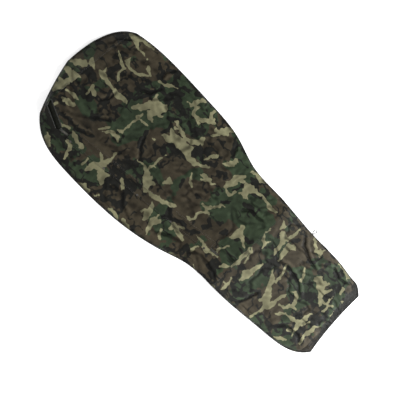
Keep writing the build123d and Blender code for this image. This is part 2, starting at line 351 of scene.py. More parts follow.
def torso_patches():
    """The two panels beside the opening, and the lower and upper edge of each."""
    up = np.linspace(0, 1, torso_rows + 1)
    middle = (opening_edge(-1) + opening_edge(1)) / 2
    left_edge = along(opening_edge(-1), middle, up)
    right_edge = along(opening_edge(1), middle, up)
    left_side = ring_point(left_cross + (left_crown - ring_length - left_cross) * up)
    right_side = ring_point(right_cross + (right_crown - right_cross) * up)
    left_low = left_side[0] + (left_edge[0] - left_side[0]) * left_at[:, None]
    right_low = right_edge[0] + (right_side[0] - right_edge[0]) * right_at[:, None]
    left_high = crown_run(left_side[-1, 0] + (left_edge[-1, 0] - left_side[-1, 0]) * left_at)
    right_high = crown_run(right_edge[-1, 0] + (right_side[-1, 0] - right_edge[-1, 0]) * right_at)
    patches = {"left_front_panel": patch(left_low, left_high, left_side, left_edge, left_at, up),
               "torso_panel": patch(right_low, right_high, right_edge, right_side, right_at, up)}
    return patches, (left_low, right_low), (left_high, right_high)


def leg_patches(cross):
    """The leg panel below the cross seam's points, and the foot panel below that."""
    at = fractions_of(cross)
    up = np.linspace(0, 1, leg_rows + 1)
    leg_left = ring_point(left_foot + (left_cross - left_foot) * up)
    leg_right = ring_point(right_foot + (right_cross - right_foot) * up)
    foot_line = leg_left[0] + (leg_right[0] - leg_left[0]) * at[:, None]
    leg = patch(foot_line, cross, leg_left, leg_right, at, up)

    up = np.linspace(0, 1, foot_rows + 1)
    foot_end = ring_point(foot_left + (foot_right - foot_left) * at)
    end_left = ring_point(foot_left + (left_foot - foot_left) * up)
    end_right = ring_point(foot_right + (right_foot - foot_right) * up)
    return {"leg_panel": leg, "foot_panel": patch(foot_end, foot_line, end_left, end_right, at, up)}


def crown_patch(left_high, right_high):
    """The crown, from its seam and the mouth's head up to the rim."""
    between = np.linspace(left_high[-1, 0], right_high[0, 0], mouth_columns + 1)
    crown_line = np.vstack([left_high, crown_run(between)[1:-1], right_high])
    at = fractions_of(crown_line)
    up = np.linspace(0, 1, crown_rows + 1)
    rim = ring_point(left_crown + (right_crown - left_crown) * at)
    ends = np.ones(crown_rows + 1)[:, None]
    return patch(crown_line, rim, crown_line[:1] * ends, crown_line[-1:] * ends, at, up)


def front_patches():
    """The five front panels as grids of flat points that share the points of their seams."""
    patches, (left_low, right_low), high = torso_patches()
    patches.update(leg_patches(np.vstack([left_low, right_low[1:]])))
    patches["crown_panel"] = crown_patch(*high)
    return patches


def weld(patches):
    """One list of points for all the patches, and each patch's grid of places in that list."""
    found, points, grids = {}, [], {}
    for name, grid in patches.items():
        places = np.zeros(grid.shape[:2], int)
        for place in np.ndindex(places.shape):
            key = tuple(np.round(grid[place], 6))
            if key not in found:
                found[key] = len(points)
                points.append(grid[place])
            places[place] = found[key]
        grids[name] = places
    return np.array(points), grids


def quads_of(grid):
    """The grid's quads, without the ones that have shrunk to a point or a line."""
    quads = []
    for i in range(grid.shape[0] - 1):
        for j in range(grid.shape[1] - 1):
            corners = [grid[i, j], grid[i, j + 1], grid[i + 1, j + 1], grid[i + 1, j]]
            corners = [int(c) for n, c in enumerate(corners) if c != corners[n - 1]]
            if len(set(corners)) > 2:
                quads.append(corners)
    return quads


# ---------------------------------------------------------------- the front's folds
# each is its depth and width in millimetres, then points along it in centimetres
FOLDS = [
    (9, 9, [(-25, -9), (-23.5, -2), (-21, 4), (-17, 8), (-13.5, 11)]),
    (7, 7, [(-26, 9), (-20.5, 3.5), (-18.5, -3), (-20, -12)]),
    (5, 8, [(-22.5, 95), (-22.5, 86), (-22, 78), (-18.5, 70)]),
    (4, 7, [(-12.5, 80), (-8.5, 75), (-4.5, 69)]),
    (4, 9, [(-36, 45), (-31, 40), (-31, 34), (-37, 28), (-39, 18)]),
    (5, 8, [(-29, -17), (-24, -26), (-25, -38), (-29, -44)]),
    (5, 8, [(-19, -26), (-13, -33), (-12, -45)]),
    (5, 9, [(12, -22), (16, -29), (18, -38)]),
    (5, 9, [(7, -60), (9, -69), (6, -79), (0, -86)]),
    (6, 9, [(31, -60), (24, -66), (20, -74), (18, -84)]),
    (5, 8, [(-28, -60), (-21, -64), (-14, -66)]),
    (5, 8, [(-24, -86), (-18, -92), (-16, -101), (-20, -109)]),
    (5, 8, [(28, -86), (25, -94), (27, -103)]),
    (4, 8, [(44, 62), (39, 67), (34, 66)]),
    (4, 8, [(43, 10), (36, 4), (30, 3)]),
    (4, 8, [(-2, 84), (5, 80), (12, 80)]),
    (4, 9, [(20, 71), (23, 64), (31, 60)]),
    (5, 9, [(39, 93), (33, 101), (24, 104)]),
    (4, 8, [(-10, 41), (-4, 46), (4, 49)]),
    (5, 9, [(-35, 4), (-29, -4), (-27, -14)]),
]


def distance_to(points, line):
    """Each point's distance from a polyline, with its sign by side, and how near the ends it is."""
    best = np.full(len(points), 9.0)
    signed = np.zeros(len(points))
    fade = np.zeros(len(points))
    line = np.array(line) * CM
    reach = reach_along(line)
    for n, (a, b) in enumerate(zip(line[:-1], line[1:])):
        way = b - a
        t = np.clip((points - a) @ way / (way @ way), 0, 1)
        away = points - a - t[:, None] * way
        distance = np.hypot(away[:, 0], away[:, 1])
        near = distance < best
        best[near] = distance[near]
        side = np.sign(way[0] * away[:, 1] - way[1] * away[:, 0])
        signed[near] = (side * distance)[near]
        place = (reach[n] + t * (reach[n + 1] - reach[n])) / reach[-1]
        fade[near] = ease(4 * np.minimum(place, 1 - place) + 0.1)[near]
    return signed, fade


def folds(points):
    """How far the listed folds lift or lower the front: a valley with a ridge beside it."""
    lift = np.zeros(len(points))
    ridge_place, ridge_width, ridge_share = 1.7, 1.2, 0.55
    wander = 12 * MM * fractal(points[:, 0] / 0.09, points[:, 1] / 0.09, 5, 2)
    for depth, width, line in FOLDS:
        signed, fade = distance_to(points + wander[:, None], line)
        d = signed / (width * MM)
        ridge = ridge_share * np.exp(-((d - ridge_place) / ridge_width) ** 2)
        lift += depth * MM * fade * (ridge - np.exp(-d * d))
    return lift


def pucker(points, inset):
    """Short gathers that run in from the bound edge, and none elsewhere."""
    deep, strongest_at, reach, edge_per_turn = 7 * MM, 40 * MM, 38 * MM, 1.35
    along_edge = np.arctan2(points[:, 1] / half_length, points[:, 0] / half_width) * edge_per_turn
    ripple = fractal(along_edge / 0.035, inset / 0.12, 31, 2)
    return deep * ripple * np.exp(-(((inset - strongest_at) / reach) ** 2))


def crumple(points):
    """Broad, soft ridges and small creases all over the front."""
    broad_height, small_height, fine_height = 7 * MM, 4.5 * MM, 1.5 * MM
    x, y = points[:, 0], points[:, 1]
    bend = 0.06 * fractal(x / 0.3, y / 0.3, 3, 2)
    broad = fractal((x + bend) / 0.17, (y - bend) / 0.24, 11, 2)
    small = fractal((x - y * 0.4 + bend) / 0.055, (y + x * 0.3) / 0.10, 21, 2)
    fine = fractal((x + y * 0.5) / 0.022, (y - x * 0.4 + bend) / 0.045, 41, 2)
    large = broad_height * (0.5 - np.abs(broad) * 2)
    return large + small_height * (0.4 - np.abs(small)) + fine_height * fine


def creases(points):
    """Narrow valleys that wander across the front in one direction here and another there."""
    depth, width, other_width = 4.2 * MM, 0.09, 0.08
    x, y = points[:, 0], points[:, 1]
    bend = 0.05 * fractal(x / 0.22, y / 0.22, 161, 2)
    line = np.abs(fractal((x + 0.45 * y + bend) / 0.085, (y - 0.3 * x - bend) / 0.17, 171, 3))
    other = np.abs(fractal((x - 0.7 * y) / 0.12 + 7, (y + 0.6 * x + bend) / 0.22, 176, 2))
    place = fractal(x / 0.22, y / 0.27, 181, 2)
    there, elsewhere = ease(0.55 + 1.3 * place), ease(0.4 - 1.3 * place)
    return -depth * (there * np.exp(-(line / width) ** 2) + elsewhere * np.exp(-(other / other_width) ** 2))


def opening_nearness(points, inset):
    """1 at the zipper and the mouth, falling to 0 a little way off and at the bound edge."""
    u, v = zip_frame(points)
    beside = np.where(u < 0, -u - 30 * MM, u - 54 * MM)
    beyond = np.maximum(v - zip_length - 20 * MM, -v - 10 * MM)
    by_zip = 1 - ease(np.maximum(beside, beyond) / (60 * MM))
    way = points - mouth_foot
    s = np.clip(way @ mouth_way, 0, 165 * MM)
    off = way - s[:, None] * mouth_way
    by_mouth = 1 - ease((np.hypot(off[:, 0], off[:, 1]) - 26 * MM) / (40 * MM))
    return np.maximum(by_zip, by_mouth) * ease((inset - 9 * MM) / (24 * MM))


def front_height(points, inset):
    """The front's height before it is simulated: round at the edge, level by the zipper."""
    rise = 1 - np.exp(-np.maximum((inset - binding_width) / (24 * MM), 0) ** 1.15)
    level = 46 * MM + 4 * MM * fractal(points[:, 0] / 0.35, points[:, 1] / 0.35, 8, 2)
    edge = 2.2 * MM
    return edge + (level - edge) * rise


def new_mesh(name, points, faces, attributes):
    """A mesh with the named attributes at its vertices."""
    mesh = bpy.data.meshes.new(name)
    mesh.from_pydata([tuple(p) for p in points], [], faces)
    for key, values in attributes.items():
        values = np.asarray(values, np.float32)
        kind, field = ("FLOAT_VECTOR", "vector") if values.ndim > 1 else ("FLOAT", "value")
        layer = mesh.attributes.new(key, kind, "POINT")
        layer.data.foreach_set(field, values.ravel())
    mesh.update()
    return mesh


def new_piece(name, points, faces, attributes=None, smooth=True):
    """A new object in the scene, with its own mesh."""
    mesh = new_mesh(name, points, faces, attributes or {})
    if smooth:
        mesh.polygons.foreach_set("use_smooth", np.ones(len(mesh.polygons), bool))
    piece = bpy.data.objects.new(name, mesh)
    scene.collection.objects.link(piece)
    return piece


def coordinates(mesh):
    """The mesh's points as an array."""
    flat = np.zeros(len(mesh.vertices) * 3, np.float32)
    mesh.vertices.foreach_get("co", flat)
    return flat.reshape(-1, 3).astype(float)


lowest_front = 1.6 * MM
settling_frames = 26
CLOTH = {"quality": 5, "mass": 0.12, "tension_stiffness": 12, "compression_stiffness": 6,
         "shear_stiffness": 4, "bending_stiffness": 0.15, "shrink_min": -0.02}


def front_start(flat, inset, near):
    """The heights that the cloth starts from, and those of the support it settles on."""
    free = ease((inset - 10 * MM) / (50 * MM)) * (1 - near)
    start = front_height(flat, inset) * (1 - near) + plateau * near
    support = start - 4 * MM + 0.8 * folds(flat) * free
    start = start + free * (crumple(flat) + 1.15 * folds(flat)) + (1 - near) * pucker(flat, inset)
    return np.maximum(start, lowest_front), np.maximum(support, 0.5 * MM)


def front_edges(grids):
    """The points on the bound edge, along the opening and across the mouth's head."""
    sided = ("left_front_panel", "torso_panel", "leg_panel", "foot_panel")
    edges = [grids[name][:, column] for name in sided for column in (0, -1)]
    mouth_head_points = grids["crown_panel"][0, left_columns:left_columns + mouth_columns + 1]
    edges += [grids["foot_panel"][0], grids["crown_panel"][-1], mouth_head_points]
    return np.unique(np.concatenate(edges))


def add_cloth(piece, held):
    """Makes the piece a limp, light cloth, pinned by its vertex group."""
    modifier = piece.modifiers.new("cloth", "CLOTH")
    for key, value in CLOTH.items():
        setattr(modifier.settings, key, value)
    modifier.settings.vertex_group_mass = held.name
    modifier.settings.effector_weights.gravity = 0.35
    modifier.collision_settings.distance_min = 1.5 * MM
    modifier.collision_settings.use_self_collision = False
    modifier.point_cache.frame_start, modifier.point_cache.frame_end = 1, settling_frames


def simulate_front(flat, faces, grids):
    """Lays the front over a low support as cloth, held at the bound edge and at the opening."""
    inset = inset_of(flat)
    near = opening_nearness(flat, inset)
    start, support = front_start(flat, inset, near)
    cloth = new_piece("front_cloth", np.column_stack([flat, start]), faces)
    below = new_piece("front_support", np.column_stack([flat, support]), faces)
    below.modifiers.new("collision", "COLLISION")
    below.collision.thickness_outer = 1.5 * MM
    below.collision.cloth_friction = 12
    held = cloth.vertex_groups.new(name="held")
    held.add([int(i) for i in np.nonzero(near > 0.9)[0]], 0.6, "REPLACE")
    held.add([int(i) for i in front_edges(grids)], 1.0, "REPLACE")
    add_cloth(cloth, held)
    for number in range(1, settling_frames + 1):
        scene.frame_set(number)
    shape = cloth.evaluated_get(bpy.context.evaluated_depsgraph_get()).data
    settled = coordinates(shape)
    scene.frame_set(1)
    for piece in (cloth, below):
        mesh = piece.data
        bpy.data.objects.remove(piece)
        bpy.data.meshes.remove(mesh)
    return settled


def finish_heights(points, inset, near):
    """Keeps the settled front above the floor and inside the height the sack has."""
    proud, slope, flat_from = 9 * MM, 0.35, 22 * MM
    top = plateau + proud * (1 - near) + 0.3 * MM
    low = np.minimum(lowest_front + slope * np.maximum(inset - binding_width, 0), flat_from)
    points[:, 2] = np.clip(points[:, 2], low, top)
    return points


# ---------------------------------------------------------------- the woodland print
# tan shapes, each a chain of (x, y, half its width there), in centimetres
TAN = [
    [(-14.5, 108, 2.2), (-10.5, 106.5, 2.6), (-6, 104.5, 2.2), (-1.5, 104, 2.2)],
    [(-2, 112.2, 1.5), (-1.8, 108, 2.2), (-1, 105, 2)],
    [(3.8, 112.4, 1.3), (5.5, 109, 2.2), (7.5, 105.5, 2.4), (8.3, 103.5, 1.6)],
    [(-8.5, 110.8, 1.2), (-8.8, 108, 1.4)],
    [(-12, 110, 1.2), (-13, 107, 1.5)],
    [(0.2, 103, 1), (0.6, 100.5, 0.6)],
    [(-15.6, 100.5, 1.2), (-15, 97, 2.2), (-14.3, 93.5, 2)],
    [(-10.3, 101.5, 1), (-9.2, 97.5, 1.2), (-9.7, 93.5, 1), (-10.5, 92, 0.5)],
    [(-3.5, 91.5, 0.8), (1.5, 91.5, 1.3), (-0.8, 88.5, 1.4), (-1, 87.2, 0.6)],
    [(14.3, 103.6, 0.8), (11.5, 102, 1.8), (10.5, 98, 0.8)],
    [(10.5, 95, 1.2), (11.5, 91.5, 2.4), (9.5, 87, 1.2), (8.8, 82, 1.2), (8.8, 77, 2.2), (9.5, 72, 1.6)],
    [(12, 93, 1.2), (15.8, 93, 0.8)],
    [(15, 84, 0.9), (19, 86.3, 1), (23, 86.5, 1.4), (24.5, 90.5, 1.2), (27.8, 95.5, 0.8)],
    [(30.5, 87.5, 0.8), (27, 88, 1.4), (25, 84, 1.4), (25.5, 79, 1.4), (28, 74.5, 1.2), (31, 72.6, 1),
     (33.5, 76.5, 1)],
    [(40.5, 99, 1), (40, 94.5, 2.4), (37.5, 90, 1), (36, 81, 0.6)],
    [(41, 95, 2.2), (43, 90, 1.6), (43.8, 83, 1.2)],
    [(-22, 100.8, 1.4), (-20.5, 100.2, 1)],
    [(-26, 97, 0.8), (-26.2, 93.5, 0.8)],
    [(-28.5, 92, 1), (-27, 88, 1), (-25.3, 84.5, 0.8)],
    [(-25.2, 82, 0.6), (-27, 79, 1.6), (-28.3, 73, 1.6), (-28.5, 70, 0.8)],
    [(-37, 92, 0.8), (-39, 90, 2.4), (-42, 86.5, 1.2)],
    [(-41, 73.5, 0.7), (-37, 74.8, 1), (-33, 76.5, 1.6), (-32, 79.5, 0.8)],
    [(-35.5, 63.8, 0.8), (-31, 63.5, 0.8)],
    [(-36, 60, 1.4), (-31, 58, 2.4), (-29, 54, 2.6), (-33, 50, 2.6), (-35.5, 47.5, 1)],
    [(-29, 56, 2), (-24, 54, 1.6), (-17.5, 53.5, 1)],
    [(-26.5, 56, 1.6), (-23.5, 60.5, 1)],
    [(-30, 49, 1.6), (-27.5, 47, 0.7)],
    [(-13.5, 71.5, 0.8), (-10.5, 69, 1.4), (-8, 67.5, 1)],
    [(-13.5, 69, 0.8), (-10, 64.5, 1.6), (-9.5, 60, 1.6), (-10.8, 58, 0.8)],
    [(-6, 63, 0.8), (-5, 60, 1), (2, 60, 0.6), (6.5, 59, 0.8)],
    [(10, 66, 1), (13, 62.5, 2), (18, 59.5, 2.4), (21, 56, 3), (23, 52.5, 2.4)],
    [(7.5, 60, 1.6), (11, 59.5, 1.2)],
    [(7.6, 60, 1.2), (8, 54, 1), (8.2, 51.5, 0.7)],
    [(21, 58, 2), (25.5, 61, 0.9)],
    [(12.5, 54, 1.6), (16, 56, 2.4), (20, 54, 2.6)],
    [(12.5, 54, 1.4), (12, 51, 1)],
    [(18, 52, 1.4), (18.2, 50, 1)],
    [(23.5, 53, 1.4), (22.5, 50.5, 0.9)],
    [(32, 66.5, 0.8), (32.5, 62, 1), (35, 59, 1.2), (37, 55.5, 0.9)],
    [(-46, 58, 1), (-43.5, 54, 1.6), (-44.5, 50, 1.6)],
    [(-44, 46, 0.6), (-42, 44, 0.7)],
    [(-30.5, 35.5, 0.8), (-27, 37.5, 1.1), (-25.8, 40.5, 0.9)],
    [(-10, 42, 0.6), (-10.3, 38, 0.6)],
    [(-10.3, 36, 1), (-11.5, 33, 2), (-14, 29.5, 2.8), (-17.5, 27, 1.8), (-20.5, 24.5, 1), (-22, 25.5, 0.7)],
    [(-14.5, 28, 1.8), (-13.8, 24, 0.9)],
    [(-19.5, 23, 0.9), (-18.8, 20, 1.6), (-17.5, 14, 1.4), (-15.5, 8.5, 1.6), (-13.5, 6, 1)],
    [(-8.5, 33.5, 0.8), (-6, 32.5, 1.2), (-5.5, 29.5, 0.7)],
    [(-6, 32.5, 1), (-1, 33, 0.8), (3.3, 31, 0.7)],
    [(-9.7, 21.5, 0.8), (-6, 19.5, 1.8), (-5.5, 17, 0.8)],
    [(5, 45, 0.6), (5.2, 42.5, 0.6)],
    [(10.5, 40.5, 1.2), (12, 36.5, 2.4), (14.8, 33, 3), (14.5, 27, 2.8), (13, 22, 2.2), (12.5, 16, 1.8),
     (14.5, 11.5, 1), (16.5, 8.5, 0.5)],
    [(15, 37, 2.2), (17, 40, 1.2)],
    [(13.5, 24, 2), (17.5, 24, 1.2)],
    [(22.5, 41.5, 0.6), (21.3, 38, 1.4), (19.5, 34, 1.4), (19.5, 28.5, 1.8), (22, 24.5, 2), (26, 22.5, 1.8),
     (24, 21, 1)],
    [(19, 39.5, 0.8), (21, 37.5, 1)],
    [(35, 45.5, 0.8), (36, 41.5, 1.6), (40.5, 41, 1.4)],
    [(37, 39, 1.2), (32.5, 37.5, 1.2), (32.3, 33.5, 1.6), (30, 31, 0.7)],
    [(32.5, 33, 1.4), (35.5, 29, 1.4), (38, 26.5, 1.8), (37.5, 24, 0.9)],
    [(38, 27.5, 1.6), (41, 30.5, 1.2), (43, 29, 0.7)],
    [(37, 40, 1), (42, 40, 1), (43, 37, 0.8)],
    [(44.5, 42.5, 1), (45, 39.5, 0.7)],
    [(30.5, 20.5, 0.9), (35, 18.5, 1.6), (40, 16, 2.6), (42.5, 14, 2)],
    [(35.5, 21, 1.2), (36, 18.5, 1.2)],
    [(-32, 13.5, 1.4), (-28.5, 15.5, 2), (-24, 15.5, 1.6), (-22.5, 16.8, 0.9)],
    [(-30.5, 18, 0.9), (-28, 17.5, 1)],
    [(-38.5, 6.3, 0.6), (-34, 8.5, 1.2), (-29.5, 9.5, 2), (-24.5, 9.5, 0.9)],
    [(-29.5, 8, 1.6), (-27, 6.5, 1.4)],
    [(-34.5, -1.5, 1), (-32.5, 1.5, 1.5), (-29.8, 2.5, 0.9)],
    [(-26, -0.5, 0.8), (-22.5, -2, 2), (-23.5, -7, 2.2), (-25, -11.5, 1.4)],
    [(-21, -4, 1), (-20, -7, 0.6)],
    [(-43, 33, 0.8), (-43.5, 26, 1.2), (-45, 25, 1)],
    [(-41.5, 22.5, 1), (-43, 18.5, 1.4), (-44, 14, 0.9)],
    [(-13, -3.8, 0.9), (-13, -6.5, 1), (-7, -6.8, 0.8), (-3, -8.8, 1), (-1, -7.5, 1.6), (-1.5, -4.8, 0.8)],
    [(-1.5, -8, 1.6), (1.5, -10.5, 1), (4.5, -13, 1.2), (6.5, -14, 1.2), (6.5, -16.5, 0.6)],
    [(-2, -10, 0.9), (-3.5, -12, 0.5)],
    [(6.3, 13.3, 1), (2.5, 10.5, 1.4), (0.8, 7, 0.7)],
    [(7.5, 8, 0.8), (10, 4.5, 1), (12.2, -2.5, 0.6)],
    [(10.3, 12, 0.5), (11.3, 6, 1), (12.5, 2, 0.7)],
    [(18.5, 13.3, 0.9), (21.5, 12.5, 1.2), (24.7, 9.2, 1.3)],
    [(24.5, 3.5, 1), (27, 1, 1.8), (31.5, -0.8, 1.4)],
    [(15, -7, 1.4), (18.5, -7.5, 2.4), (23.5, -8.5, 2.8), (27.5, -10.5, 1.4)],
    [(14.5, -8.5, 1.2), (13.5, -12, 1), (17, -13.5, 0.9)],
    [(24.5, -9, 2), (25, -13, 1)],
    [(19, -16.5, 1.2), (20, -19, 2), (25, -15.5, 1.8), (26, -19, 1.8)],
    [(20, -19, 1.8), (19.5, -21.5, 1)],
    [(23, -18, 2.4), (26.3, -22, 1.4), (27, -27, 0.8), (26.3, -32, 0.9), (25.5, -36.5, 1.4),
     (26, -39.5, 0.9)],
    [(32.5, -11, 0.6), (34, -15, 1.6), (33, -19, 1.6), (34.5, -22, 0.8)],
    [(-37.5, -10, 1), (-35, -15, 1)],
    [(-25.5, -19.5, 1), (-21, -21, 0.9)],
    [(-17.3, -16, 0.8), (-17.5, -21.5, 1.2), (-19.5, -26, 1.8), (-19, -28.5, 0.9)],
    [(-18.5, -29, 0.8), (-17.5, -31.5, 1), (-17, -34, 0.7)],
    [(-17.3, -31, 0.8), (-12, -31.5, 0.9), (-8, -34, 0.8)],
    [(-32, -29, 0.9), (-31, -26.5, 0.7)],
    [(-3.5, -31, 0.8), (-0.5, -33, 2.2), (5.5, -32, 2)],
    [(2, -33, 2.6), (-0.5, -37, 1), (-1.5, -41, 0.8)],
    [(-20.5, -38.8, 0.8), (-18, -40.5, 1.6), (-16.5, -42, 0.9)],
    [(-15.5, -44, 0.6), (-11, -45, 1.2), (-4, -44.5, 1.5), (0, -44, 0.8)],
    [(-9, -48, 0.5), (-4, -47, 1.2), (0.5, -45, 0.7)],
    [(-32.5, -43.5, 1), (-32.5, -46.5, 1)],
    [(-30, -49.3, 0.8), (-25, -49.5, 0.9), (-20.5, -49, 0.7)],
    [(-25, -47, 0.6), (-24.5, -50, 0.7)],
    [(16.5, -44.5, 0.7), (12, -44, 0.9), (9, -45.5, 1.2), (8.5, -48.5, 1), (4.5, -49.3, 0.6)],
    [(9, -48, 1), (11, -50, 0.6)],
    [(20.5, -48.5, 0.8), (23, -49, 1.2), (25, -47.5, 0.8)],
    [(-18, -53, 0.7), (-12, -53.5, 2.2), (-6.5, -54, 1.6), (-1, -56, 0.8)],
    [(-13, -51.5, 1), (-10.5, -52, 1.2)],
    [(7, -56.5, 0.8), (13, -56, 1.1), (17.5, -54.5, 2.2), (19.5, -52, 1.4)],
    [(18.5, -55.5, 1.6), (22.5, -57, 1.2), (29, -57, 0.7)],
    [(7, -61, 0.9), (12, -60, 1.4), (17, -59.5, 2), (18.5, -62, 1.8), (17.5, -64.5, 0.9)],
    [(0.3, -62.5, 0.8), (-3, -65.5, 1.4), (-8, -68.5, 2), (-12, -71.5, 2.2), (-15.5, -73, 2.4),
     (-17.5, -76, 2), (-10, -77.5, 1.2), (-5, -79, 0.6)],
    [(-3, -69, 1.4), (3, -68.5, 1), (8.5, -66, 0.8)],
    [(-17.5, -70, 1), (-14, -72, 1.6)],
    [(-16, -74, 1.4), (-22.5, -74.5, 1), (-28.5, -73.5, 0.8)],
    [(8, -79.5, 0.8), (11.5, -78, 1), (14.5, -75.5, 0.9)],
    [(32, -67.5, 1), (29.5, -70.5, 1.4), (26.5, -73, 1.6), (28.5, -76, 1.4), (25, -77.5, 0.7)],
    [(28.5, -75.5, 1.2), (31.5, -77.5, 1)],
    [(-17.5, -82, 0.7), (-15, -84.5, 1), (-12.5, -86.5, 1.2), (-12, -91.5, 0.9), (-11.3, -94.5, 0.6)],
    [(-11.5, -80.5, 0.8), (-10.5, -84, 1.1), (-6.5, -86.5, 1.3), (-2, -84.5, 1.2), (0.3, -81.5, 0.9),
     (-1.5, -79.5, 0.8)],
    [(-6.5, -86, 1), (-6.5, -89, 0.6)],
    [(14.5, -85.5, 1.6), (16.5, -86.5, 2.2), (13, -90.5, 2.4), (9.5, -94, 2), (5.5, -97.5, 0.9)],
    [(14, -90, 2), (18, -92, 1.2)],
    [(12.5, -94.5, 1.4), (16.5, -96.5, 1)],
    [(8, -96, 1), (9, -99, 0.8), (15.5, -99.3, 0.7)],
    [(-20, -98.5, 0.6), (-14.5, -97.5, 1), (-10, -96.5, 2), (-5, -96.5, 1.6), (-1.5, -98, 0.8)],
    [(-9.5, -98.5, 1.4), (-6, -100.5, 0.6)],
    [(-18.5, -94, 0.6), (-17.5, -97, 0.8)],
    [(3.5, -101.5, 0.7), (8.5, -100.8, 0.9), (10.5, -103, 0.7)],
    [(19, -101.5, 0.8), (22, -101, 1.3)],
    [(-19, -105, 0.8), (-13, -104, 1.5), (-7, -105, 1.2), (-2.5, -106, 0.7)],
    [(5, -106.5, 0.7), (11, -108, 0.8), (17, -107.5, 1.4), (21.5, -109, 1.4), (26, -109.5, 0.6)],
    [(16.5, -105, 0.7), (17.5, -108, 1.2)],
    [(-27.5, -92.5, 0.7), (-26, -95, 1.4), (-23.5, -98.5, 0.7)],
    [(-26.5, -105, 0.8), (-24.5, -108, 0.6)],
    [(30.5, -89, 0.8), (32, -94, 1), (29, -98, 1.4), (27, -99, 0.6)],
]
